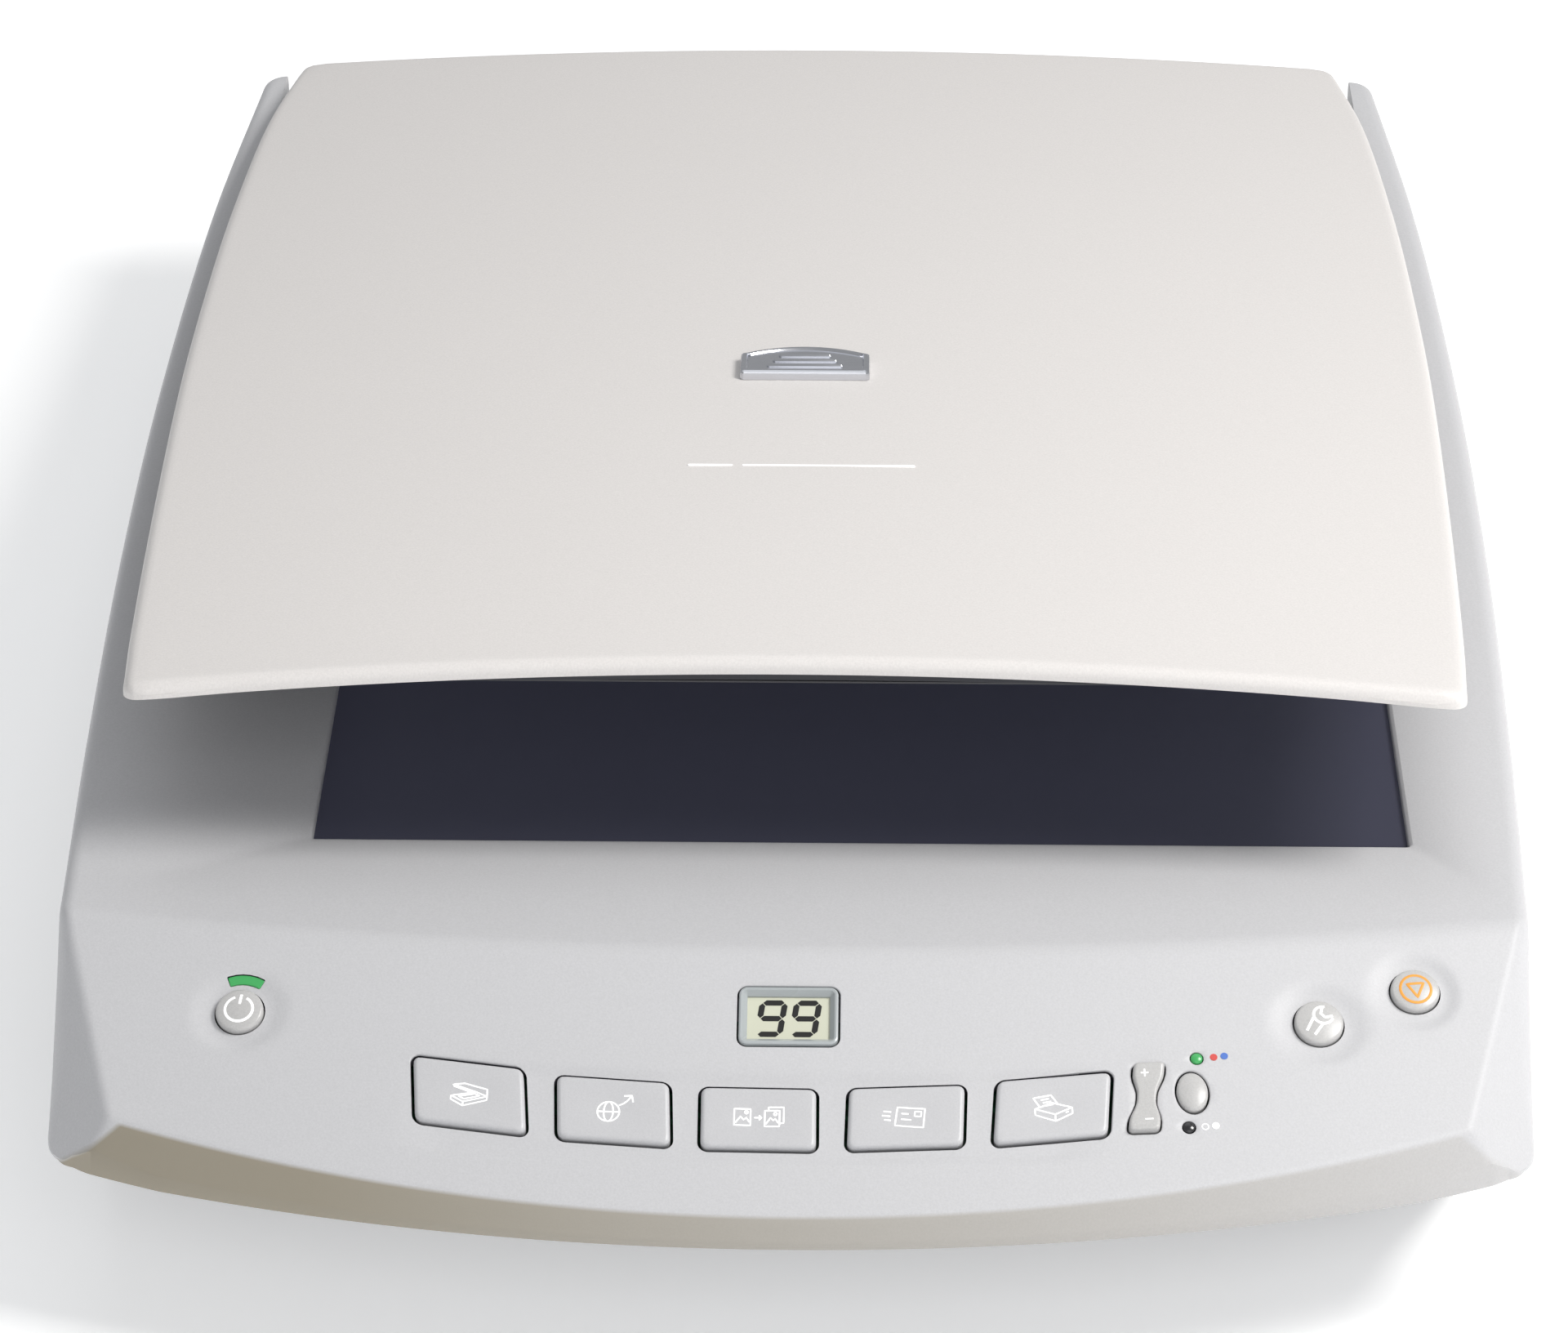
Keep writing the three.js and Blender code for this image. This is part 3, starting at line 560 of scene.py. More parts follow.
@dataclass(frozen=True)
class Board:
    """A circuit board under solder mask."""

    name: str
    mask: Colour = (0.012, 0.11, 0.045)
    track: Colour = (0.03, 0.2, 0.085)

    def material(self) -> bpy.types.Material:
        """Makes the material: copper tracks that show through the green mask."""
        tree = Tree(self.name)
        wave = tree.node(
            "ShaderNodeTexWave",
            {"bands_direction": "DIAGONAL"},
            {"Vector": tree.where, "Scale": 160.0, "Distortion": 3.0, "Detail": 1.0},
        )
        tracks = Wire(tree, wave.outputs[1]) > 0.62
        tree.set(Base_Color=tree.mix(tracks, self.mask, self.track), Roughness=0.35, Coat_Weight=0.4)
        tree.bump(tracks, 0.00003, 0.6)
        return tree.material


@dataclass(frozen=True)
class Foam:
    """Soft closed-cell foam."""

    name: str
    tone: Colour = (0.075, 0.075, 0.082)

    def material(self) -> bpy.types.Material:
        """Makes the material: small cells, slightly bleached in patches."""
        tree = Tree(self.name)
        inputs = {"Vector": tree.where, "Scale": 900.0}
        cells = Wire(tree, tree.node("ShaderNodeTexVoronoi", {}, inputs).outputs[0])
        patch = tree.noise(0.06, 2.0)
        tone = tree.mix(patch * 0.5, self.tone, shade(self.tone, 1.35))
        tree.set(Base_Color=tree.mix(cells * 0.3, tone, shade(self.tone, 0.6)), Roughness=0.9)
        tree.set(Sheen_Weight=0.3)
        tree.bump(cells, 0.0002, 0.6)
        return tree.material


@dataclass(frozen=True)
class Film:
    """White reflecting film, coloured near black at its front as painted shade under the lid's front edge.
    """

    name: str
    tone: Colour = (0.83, 0.83, 0.81)
    front_shade: Colour = (0.06, 0.06, 0.068)
    shade_start_y: float = -0.118

    def material(self) -> bpy.types.Material:
        """Makes the material: satin film, with painted shade from a place along it to its front."""
        tree = Tree(self.name)
        # Painted shade: the film's front part is coloured near black.
        front = (self.shade_start_y - tree.along(1)) > 0.0
        cloud = tree.noise(0.03, 2.0)
        white = tree.mix(cloud * 0.2, self.tone, shade(self.tone, 0.93))
        tree.set(Base_Color=tree.mix(front, white, self.front_shade), Roughness=0.38 + cloud * 0.08)
        return tree.material


class Finish(Enum):
    """The finishes, each made a material once."""

    # The case's skirt carries painted shade below the given height.
    CASE = Moulding("case_grain", (0.55, 0.55, 0.565), skirt_shade_below=0.0418)
    LID = Moulding("lid_grain", (0.70, 0.675, 0.66))
    PLINTH = Moulding("plinth_grain", (0.30, 0.30, 0.305), 0.55)
    LINER = Moulding("liner_grain", (0.035, 0.036, 0.044), 0.6, 0.06)
    KEY = Moulding("key_satin", (0.54, 0.54, 0.555), 0.36, 0.045, 0.00035, 0.00002)
    BUTTON = Moulding("button_satin", (0.50, 0.495, 0.49), 0.3, 0.07, 0.00035, 0.00002)
    # The glass glows faintly: painted light.
    PLATEN = Gloss("platen_tint", (0.036, 0.037, 0.055), 0.3, 0.0, 0.4, specular=0.1)
    BEZEL = Gloss("display_bezel", (0.40, 0.43, 0.44), 0.25, 0.3)
    # The display cell glows a little: painted light that brightens it.
    CELL = Gloss("cell_grey", (0.60, 0.61, 0.49), 0.4, 0.2, 0.04)
    SEGMENT = Gloss("display_segment", (0.004, 0.004, 0.004), 0.6, 0.0)
    GREEN = Gloss("green_light", (0.05, 0.36, 0.10), 0.3, 0.3, 0.16)
    SMOKE = Gloss("dark_light", (0.018, 0.018, 0.02), 0.2, 0.5)
    GAP = Moulding("gap_shadow", (0.02, 0.02, 0.028), 0.8)
    # The white and orange inks glow: painted light that brightens the marks.
    INK = Gloss("white_ink", (0.95, 0.95, 0.95), 0.5, 0.0, 0.25)
    ORANGE = Gloss("orange_ink", (0.80, 0.34, 0.05), 0.5, 0.0, 0.05)
    RED = Gloss("red_ink", (0.62, 0.07, 0.06), 0.5, 0.0)
    BLUE = Gloss("blue_ink", (0.07, 0.17, 0.55), 0.5, 0.0)
    FOAM = Foam("pad_cells")
    FILM = Film("satin_film")
    STRIP = Gloss("white_strip", (0.83, 0.83, 0.81), 0.4, 0.2)
    BOARD = Board("solder_mask")
    DARK = Moulding("dark_moulding", (0.02, 0.02, 0.023), 0.5, 0.1)
    NYLON = Moulding("natural_nylon", (0.63, 0.59, 0.48), 0.42, 0.04, 0.0008)
    STEEL = Metal("ground_steel", (0.56, 0.57, 0.58), 0.28)
    CHROME = Metal("satin_chrome", (0.70, 0.71, 0.75), 0.16, (18.0, 1.0, 1.0))
    BRASS = Metal("cut_brass", (0.72, 0.52, 0.22), 0.3)
    MIRROR = Metal("silvering", (0.9, 0.92, 0.95), 0.02)
    LAMP = Gloss("lamp_phosphor", (0.9, 0.92, 0.95), 0.2, 0.5)
    RUBBER = Rubber("pebbled_rubber")

    def material(self) -> bpy.types.Material:
        """The finish's material, made the first time that it is asked for."""
        return bpy.data.materials.get(self.value.name) or self.value.material()


def finish(obj: bpy.types.Object, *finishes: Finish) -> None:
    """Gives an object its materials, in the order of its material slots."""
    obj.data.materials.clear()
    for each in finishes:
        obj.data.materials.append(each.material())


def fit(
    obj: bpy.types.Object,
    body: str,
    look: "Finish | tuple[Finish, ...]",
    replaced: Sequence[str] = (),
    degrees: float = 32.0,
) -> bpy.types.Object:
    """Finishes a piece and hangs it on a body of the frame.

    Args:
        obj: the piece.
        body: the body that it rides on.
        look: its finish, or its finishes in the order of its material slots.
        replaced: the nodes that it stands for.
        degrees: the angle above which its edges stay crisp.

    Returns:
        The piece.
    """
    Bench.smooth(obj, degrees)
    if isinstance(look, Finish):
        finish(obj, look)
    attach(obj, body)
    if replaced:
        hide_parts(*replaced)
    log.info("%s on %s, %d faces", obj.name, body, len(obj.data.polygons))
    return obj


# ---- outlines ----------------------------------------------------------------------------------
@dataclass(frozen=True)
class Outline:
    """A plan outline with curved sides, a bowed front, a straight rear and rounded corners."""

    stations: tuple[Point, ...]
    rear: float
    front: Row
    front_corner: float
    rear_corner: float
    straight: float = 120.0
    inset: float = 0.0

    def half_width(self, y: float) -> float:
        """Half the width at a place along the sides, through the stations."""
        points = sorted((b, a) for a, b in self.stations)
        y = clamp(y, points[0][0], points[-1][0])
        k = max(i for i in range(len(points) - 1) if points[i][0] <= y)
        tangents = []
        for i in (k, k + 1):
            before, after = points[max(i - 1, 0)], points[min(i + 1, len(points) - 1)]
            tangents.append((after[1] - before[1]) / (after[0] - before[0]))
        (y0, w0), (y1, w1) = points[k], points[k + 1]
        span = y1 - y0
        t = (y - y0) / span
        bend = (2 * t**3 - 3 * t**2 + 1) * w0 + (3 * t**2 - 2 * t**3) * w1
        slope = (t**3 - 2 * t**2 + t) * tangents[0] + (t**3 - t**2) * tangents[1]
        return bend + slope * span - self.inset

    @property
    def widest(self) -> float:
        """The largest half width."""
        return max(a for a, _ in self.stations) - self.inset

    def front_at(self, x: float) -> float:
        """Where the front line lies at a place across."""
        return self.front(x) + self.inset

    @property
    def rear_at(self) -> float:
        """Where the rear line lies."""
        return self.rear - self.inset

    def place(self, column: float, y: float) -> Point:
        """Where a grid point lies, once the sides are curved and the corners rounded."""
        x = abs(column)
        if x > self.straight:
            reach = (self.half_width(y) - self.straight) / (self.widest - self.straight)
            x = self.straight + (x - self.straight) * reach
        side = self.half_width(y)
        for line, radius, way in (
            (self.front_at(x), self.front_corner, 1.0),
            (self.rear_at, self.rear_corner, -1.0),
        ):
            a = (x - side + radius) / radius
            b = (line + way * radius - y) * way / radius
            if a > 0 and b > 0:
                a, b = squircle(min(a, 1.0), min(b, 1.0))
                x, y = side - radius + a * radius, line + way * (radius - b * radius)
                break
        return math.copysign(x, column), y

    def depth(self, x: float, y: float) -> float:
        """How far inside the outline a point lies."""
        side = self.half_width(y) - abs(x)
        front, rear = y - self.front_at(x), self.rear_at - y
        end, radius = (front, self.front_corner) if front < rear else (rear, self.rear_corner)
        if side < radius and end < radius:
            return radius - math.hypot(radius - side, radius - end)
        return min(side, end)


def rounded_box(
    x0: float, x1: float, y0: float, y1: float, radius: float, steps: int = 5
) -> Callable[[float], list[Point]]:
    """The outline of a box with round corners, as a function of how much it is grown."""

    def outline(grow: float) -> list[Point]:
        """The outline's points, counterclockwise."""
        points = []
        r = max(radius + grow, 0.05)
        for turn, (sx, sy) in enumerate(((1, 1), (-1, 1), (-1, -1), (1, -1))):
            cx = x1 - radius if sx > 0 else x0 + radius
            cy = y1 - radius if sy > 0 else y0 + radius
            for i in range(steps + 1):
                angle = math.pi / 2 * (turn + i / steps)
                points.append((cx + r * math.cos(angle), cy + r * math.sin(angle)))
        before = [points[-1], *points[:-1]]
        return [p for p, q in zip(points, before) if math.dist(p, q) > 1e-5]

    return outline


# ---- control panel frame -----------------------------------------------------------------------
@dataclass(frozen=True)
class Slope:
    """The control panel: a slice of a very wide cone that drops from a bowed ridge."""

    tilt: float = math.radians(26.0)
    ridge_radius: float = 839.0
    ridge_y: float = -174.9
    rim: float = 67.0

    @property
    def axis_y(self) -> float:
        """Where the cone's axis stands."""
        return self.ridge_y + self.ridge_radius

    def height(self, x: float, y: float) -> float:
        """The cone's height over a point."""
        r = math.hypot(x, y - self.axis_y)
        return self.rim - (r - self.ridge_radius) * math.tan(self.tilt)

    def down(self, x: float, y: float) -> float:
        """How far down the slope from the ridge a point lies."""
        return (math.hypot(x, y - self.axis_y) - self.ridge_radius) / math.cos(self.tilt)

    def ridge(self, x: float) -> float:
        """Where the ridge runs at a place across."""
        return self.axis_y - math.sqrt(self.ridge_radius**2 - x * x)

    def locate(self, node: str) -> Point:
        """Where a node stands on the panel: its angle round the cone's axis and its way down."""
        obj = bpy.data.objects[node]
        corners = [obj.matrix_world @ v.co for v in obj.data.vertices]
        middle = sum(corners, Vector()) / len(corners) / MM
        angle = math.atan2(middle.x, self.axis_y - middle.y)
        r = math.hypot(middle.x, middle.y - self.axis_y) - self.ridge_radius
        return angle, r * math.cos(self.tilt) + (self.rim - middle.z) * math.sin(self.tilt)

    def frame_at(self, angle: float, s: float) -> Matrix:
        """The place and turn of a point of the panel: x across, y up the slope, z out of it."""
        r = self.ridge_radius + s * math.cos(self.tilt)
        x, y = r * math.sin(angle), self.axis_y - r * math.cos(angle)
        z = self.rim - s * math.sin(self.tilt)
        turn = Matrix.Rotation(angle, 4, "Z") @ Matrix.Rotation(self.tilt, 4, "X")
        return Matrix.Translation(Vector((x, y, z)) * MM) @ turn

    def frame_of(self, node: str) -> Matrix:
        """The place and turn of the panel under a node."""
        return self.frame_at(*self.locate(node))


# ---- case --------------------------------------------------------------------------------------
SIDES: tuple[Point, ...] = (
    (141.5, 229.0),
    (147.0, 150.0),
    (149.4, 60.0),
    (149.0, -20.0),
    (146.6, -100.0),
    (143.8, -165.0),
    (143.3, -194.0),
)


@dataclass
class UpperCase:
    """The upper case: a dished deck round the glass, the panel, and a flared skirt."""

    slope: Slope = field(default_factory=Slope)
    rim: float = 67.0
    dish: float = 3.4
    dish_front: float = 29.5
    rail: float = 141.0
    skirt_z: float = 36.0
    bottom_z: float = 35.7
    lean: float = 0.467
    lift: Point = (1.0, 1.9)
    front_radius: float = 440.0
    front_y: float = -229.0
    crease: float = 1.3
    edge: float = 3.0
    wall: float = 2.6
    recess_half: float = 136.0
    recess_y: float = 182.0
    recess_z: float = 56.0
    hidden: float = 6.0
    facet: tuple[Colour, Colour, Colour] = (
        (142.3, -162.8, 67.0),
        (129.3, -208.0, 46.2),
        (141.0, -202.5, 36.0),
    )
    dishes: tuple[tuple[str, float, float], ...] = (
        ("power_button", 9.6, 0.85),
        ("tools_button", 9.6, 0.85),
        ("cancel_button", 9.2, 0.85),
    )
    band: tuple[float, float] = (26.7, 46.3)
    band_reach: tuple[float, float] = (-76.0, 62.0)

    def __post_init__(self) -> None:
        """Works out the facet's plane, the glass opening and the dishes' places."""
        ridge, panel, skirt = (Vector(p) for p in self.facet)
        self.normal = (panel - ridge).cross(skirt - ridge)
        self.corner = ridge
        low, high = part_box("scan_glass")
        self.x0, self.x1 = low.x / MM + self.hidden, high.x / MM - self.hidden
        self.y0, self.y1 = low.y / MM + self.hidden, high.y / MM - self.hidden
        self.hollows = []
        for node, radius, deep in self.dishes:
            angle, s = self.slope.locate(node)
            self.hollows.append((self.slope.frame_at(angle, s).translation / MM, radius, deep))

    def front(self, x: float) -> float:
        """The bowed front line."""
        return self.front_y + self.front_radius - math.sqrt(self.front_radius**2 - x * x)

    def outline(self, inset: float = 0.0) -> Outline:
        """The case's outline, moved in by an inset."""
        return Outline(SIDES, 229.0, self.front, 9.0, 6.0, 120.0, inset)

    def deck(self, x: float, y: float) -> float:
        """The deck, which falls towards the glass from the front and the sides."""
        along = clamp((self.y0 - y) / self.dish_front)
        if x < self.x0:
            out = (self.x0 - x) / (self.x0 + self.rail)
        else:
            out = (x - self.x1) / (self.rail - self.x1)
        across = clamp(out)
        rise = soft_max(1 - (1 - along) ** 2.4, 1 - (1 - across) ** 2.4, 0.06)
        return self.rim - self.dish + self.dish * min(rise, 1.0)

    def height(self, x: float, y: float) -> float:
        """The height of the case over a point, before its rim is rounded."""
        z = soft_min(self.deck(x, y), self.slope.height(x, y), 1.1)
        reach = math.hypot(x, y - self.front_y - self.front_radius)
        lift = self.lift[0] + self.lift[1] * (x / 125.0) ** 2
        z = soft_min(z, self.skirt_z + lift + (self.front_radius - reach) / self.lean, self.crease)
        n, at = self.normal, self.corner
        plane = at.z - (n.x * (abs(x) - at.x) + n.y * (y - at.y)) / n.z
        z = soft_min(z, plane, self.crease)
        return z - self.sunk(x, y)

    def sunk(self, x: float, y: float) -> float:
        """How far the dishes round the buttons and the band behind the keys lie below the panel."""
        total = 0.0
        for at, radius, deep in self.hollows:
            away = math.hypot(x - at.x, (y - at.y) / math.cos(self.slope.tilt))
            total += deep * ease((radius - away) / 3.4)
        s = self.slope.down(x, y)
        if s > 15.0:
            top, low = self.band
            left, right = self.band_reach
            ends = ease((x - left) / 12.0) * ease((right - x) / 12.0)
            total += 0.5 * ease((s - top) / 1.3) * ease((low - s) / 1.3) * ends
        return total

    def rows(self) -> list[Row]:
        """The grid's rows, which follow the front line, then the ridge, then the glass."""
        front, ridge = self.front, self.slope.ridge

        def near_front(offset: float) -> Row:
            """A row beside the front line."""
            return lambda x: front(x) + offset

        def near_ridge(offset: float) -> Row:
            """A row beside the ridge."""
            return lambda x: ridge(x) + offset

        def between(a: Row, b: Row, t: float) -> Row:
            """A row between two rows."""
            return lambda x: a(x) + (b(x) - a(x)) * t

        skirt = [near_front(o) for o in (0, 0.3, 0.7, *spread(1.1, 6.2, 0.42))]
        crease = [near_ridge(o) for o in spread(-3.2, 3.2, 0.53)]
        panel = [between(skirt[-1], crease[0], t) for t in spread(0, 1, 1 / 44)[1:-1]]
        glass: Row = lambda x: self.y0
        deck = [between(crease[-1], glass, t) for t in spread(0, 1, 1 / 22)[1:-1]]
        rear = 229.0
        levels = [*spread(self.y0, self.y1, 6.0), *spread(self.y1 + 3, rear - 6, 4.0)]
        levels += [rear - d for d in (4.4, 3.2, 2.3, 1.6, 1.0, 0.55, 0.25, 0.08, 0)]
        return [*skirt, *panel, *crease, *deck, *[(lambda y: lambda x: y)(y) for y in levels]]

    def surface(
        self, name: str, inset: float, columns: list[float], rows: list[Row], sink: float
    ) -> bpy.types.Object:
        """The case's outside, or its inside, as a block.

        Args:
            name: the block's name.
            inset: how far its sides lie inside the outline.
            columns: where its columns lie.
            rows: its rows.
            sink: how far its top lies below the case's.

        Returns:
            The block.
        """
        outline = self.outline(inset)

        def place(column: float, row: int) -> Vector:
            """A point of the grid."""
            guess = math.copysign(min(abs(column), 143.0), column)
            y = rows[row](guess)
            y = clamp(y, outline.front_at(guess), outline.rear_at)
            x, y = outline.place(column, y)
            z = self.height(x, y) - sink
            radius = self.edge * ease((y + 205.0) / 20.0)
            if not inset and radius > 0.05:
                z -= round_over(outline.depth(x, y), radius)
            return Vector((x, y, max(z, self.skirt_z - sink)))

        def drop(at: Vector) -> Vector:
            """The lower end of the skirt under a rim point."""
            return Vector((at.x, at.y, self.bottom_z - (5.0 if inset else 0.0)))

        return Bench.relief(name, columns, len(rows), place, drop)

    def columns(self) -> list[float]:
        """The grid's columns, which crowd where the facets and the rim lie."""
        edge = [149.4 - d for d in (0, 0.08, 0.25, 0.55, 1.0, 1.6, 2.3, 3.2)]
        return both_ways([*spread(0, 120, 1.75), *spread(120, 145.3, 0.8), *edge])

    def openings(self) -> list[bpy.types.Object]:
        """The blocks that cut the glass opening and the panel's holes."""
        box = rounded_box(self.x0, self.x1, self.y0, self.y1, 0.6, 3)
        top = self.rim - self.dish
        flare = [(top - 0.45, 0), (top - 0.1, 0.22), (top + 0.3, 0.75)]
        return [Bench.prism("opening", box, [(50, 0), *flare, (90, 0.75)])]

    def build(self, holes: Sequence[bpy.types.Object]) -> bpy.types.Object:
        """Makes the upper case.

        Args:
            holes: the blocks that the panel's parts cut out of it.

        Returns:
            The piece.
        """
        shell = self.surface("upper_case", 0.0, self.columns(), self.rows(), 0.0)
        coarse = both_ways([*spread(0, 120, 12), *spread(120, 146.8, 4.5)])
        inside = self.surface("hollow", self.wall, coarse, self.rows()[::5], self.wall)
        behind = rounded_box(-160, 160, self.recess_y - self.wall, 240, 1)
        rear = Bench.prism("rear", behind, [(self.recess_z - self.wall, 0), (90, 0)])
        Bench.carve(inside, [rear])
        half = self.recess_half
        recess = rounded_box(-half, half, self.recess_y, 240, 3)
        recess_block = Bench.prism("recess", recess, [(self.recess_z, 0), (66, 0), (90, 2)])
        Bench.carve(shell, [inside, *self.openings(), recess_block, *holes], clear=False)
        self.darken(shell)
        return Bench.merge([shell, *self.sleeves()], "upper_case")

    def darken(self, shell: bpy.types.Object) -> None:
        """Gives the walls of the panel's holes, out of the light, the second material."""
        finish(shell, Finish.CASE, Finish.GAP)
        cos = math.cos(self.slope.tilt)
        for face in shell.data.polygons:
            at = face.center / MM
            if at.y > self.slope.ridge(at.x) or self.outline().depth(at.x, at.y) < 12:
                continue
            out = (at.y - self.slope.axis_y, at.x)
            away = math.hypot(*out)
            tilt = math.sin(self.slope.tilt)
            normal = Vector((out[1] / away * tilt, out[0] / away * tilt, cos))
            deep = (self.slope.height(at.x, at.y) - self.sunk(at.x, at.y) - at.z) * cos
            if 0.35 < deep < 3.0 and abs(face.normal.dot(normal)) < 0.45:
                face.material_index = 1

    def sleeves(self) -> list[bpy.types.Object]:
        """The sleeves that guide the hinge posts."""
        made = []
        for side in ("left", "right"):
            low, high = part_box(f"hinge_post_{side}")
            x, y = (low.x + high.x) / 2 / MM, (low.y + high.y) / 2 / MM
            half_x, half_y = (high.x - low.x) / 2 / MM, (high.y - low.y) / 2 / MM
            x0, x1, y0, y1 = x - half_x, x + half_x, y - half_y, y + half_y
            outer = rounded_box(x0 - 2.6, x1 + 2.6, y0 - 1.9, y1 + 1.9, 1)
            inner = rounded_box(x0 - 0.35, x1 + 0.35, y0 - 0.35, y1 + 0.35, 0.6)
            levels = [(30, 0), (self.recess_z + 0.2, 0), (self.recess_z + 0.6, -0.4)]
            sleeve = Bench.prism("sleeve", outer, levels)
            Bench.carve(sleeve, [Bench.prism("slot", inner, [(20, 0), (80, 0)])])
            made.append(sleeve)
        return made


@dataclass
class LowerTray:
    """The tray under the upper case, with a nose that runs back underneath."""

    case: UpperCase
    floor: float = 5.3
    top: float = 36.8
    inset: float = 3.2
    wall: float = 2.6
    undercut: float = 1.4
    edge: float = 5.0
    ports: tuple[str, ...] = ("power_jack", "usb_port")

    def block(self, name: str, inset: float, sink: float, top: float) -> bpy.types.Object:
        """The tray's outside, or its inside, as a block."""
        case = self.case
        outline = case.outline(inset)
        lines = [*spread(0, 1, 1 / 70)]

        def place(column: float, row: int) -> Vector:
            """A point of the tray's underside."""
            guess = math.copysign(min(abs(column), 140.0), column)
            front = outline.front_at(guess)
            t = lines[row]
            y = front + (outline.rear_at - front) * (0.5 - 0.5 * math.cos(math.pi * t))
            x, y = outline.place(column, y)
            reach = math.hypot(x, y - case.front_y - case.front_radius)
            nose = case.skirt_z - (case.front_radius - inset - reach) / self.undercut
            z = soft_max(self.floor, nose, 4.0) + sink
            z += round_over(outline.depth(x, y), self.edge) * ease((y + 200.0) / 30.0)
            return Vector((x, y, min(z, top - 0.2)))

        edge = [outline.widest - d for d in (0, 0.1, 0.4, 1.0, 1.9, 3.2, 5.0, 8.0, 12.0)]
        columns = both_ways([*spread(0, 132, 6.0), *[e for e in edge if e > 132.0]])
        drop = lambda at: Vector((at.x, at.y, top))
        return Bench.relief(name, columns, len(lines), place, drop, up=False)

    def build(self) -> bpy.types.Object:
        """Makes the tray and cuts its sockets."""
        tray = self.block("lower_tray", self.inset, 0.0, self.top)
        Bench.carve(tray, [self.block("tray_hollow", self.inset + self.wall, self.wall, 60.0)])
        holes = []
        for node in self.ports:
            low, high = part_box(node)
            ring = rounded_box(low.x / MM, high.x / MM, -high.z / MM, -low.z / MM, 0.8)
            hole = Bench.prism("port", ring, [(205, 0.3), (225.2, 0.3), (226.3, 0.9), (240, 0.9)])
            hole.data.transform(Matrix.Rotation(math.radians(-90), 4, "X"))
            holes.append(hole)
        for node in ("case_screw_1", "case_screw_2", "case_screw_3", "case_screw_4"):
            low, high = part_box(node)
            x, y = (low.x + high.x) / 2 / MM, (low.y + high.y) / 2 / MM
            well = rounded_box(x - 4, x + 4, y - 4, y + 4, 4)
            holes.append(Bench.prism("well", well, [(0, 0.6), (5.3, 0.6), (5.9, 0), (13, 0)]))
        Bench.carve(tray, holes)
        return tray


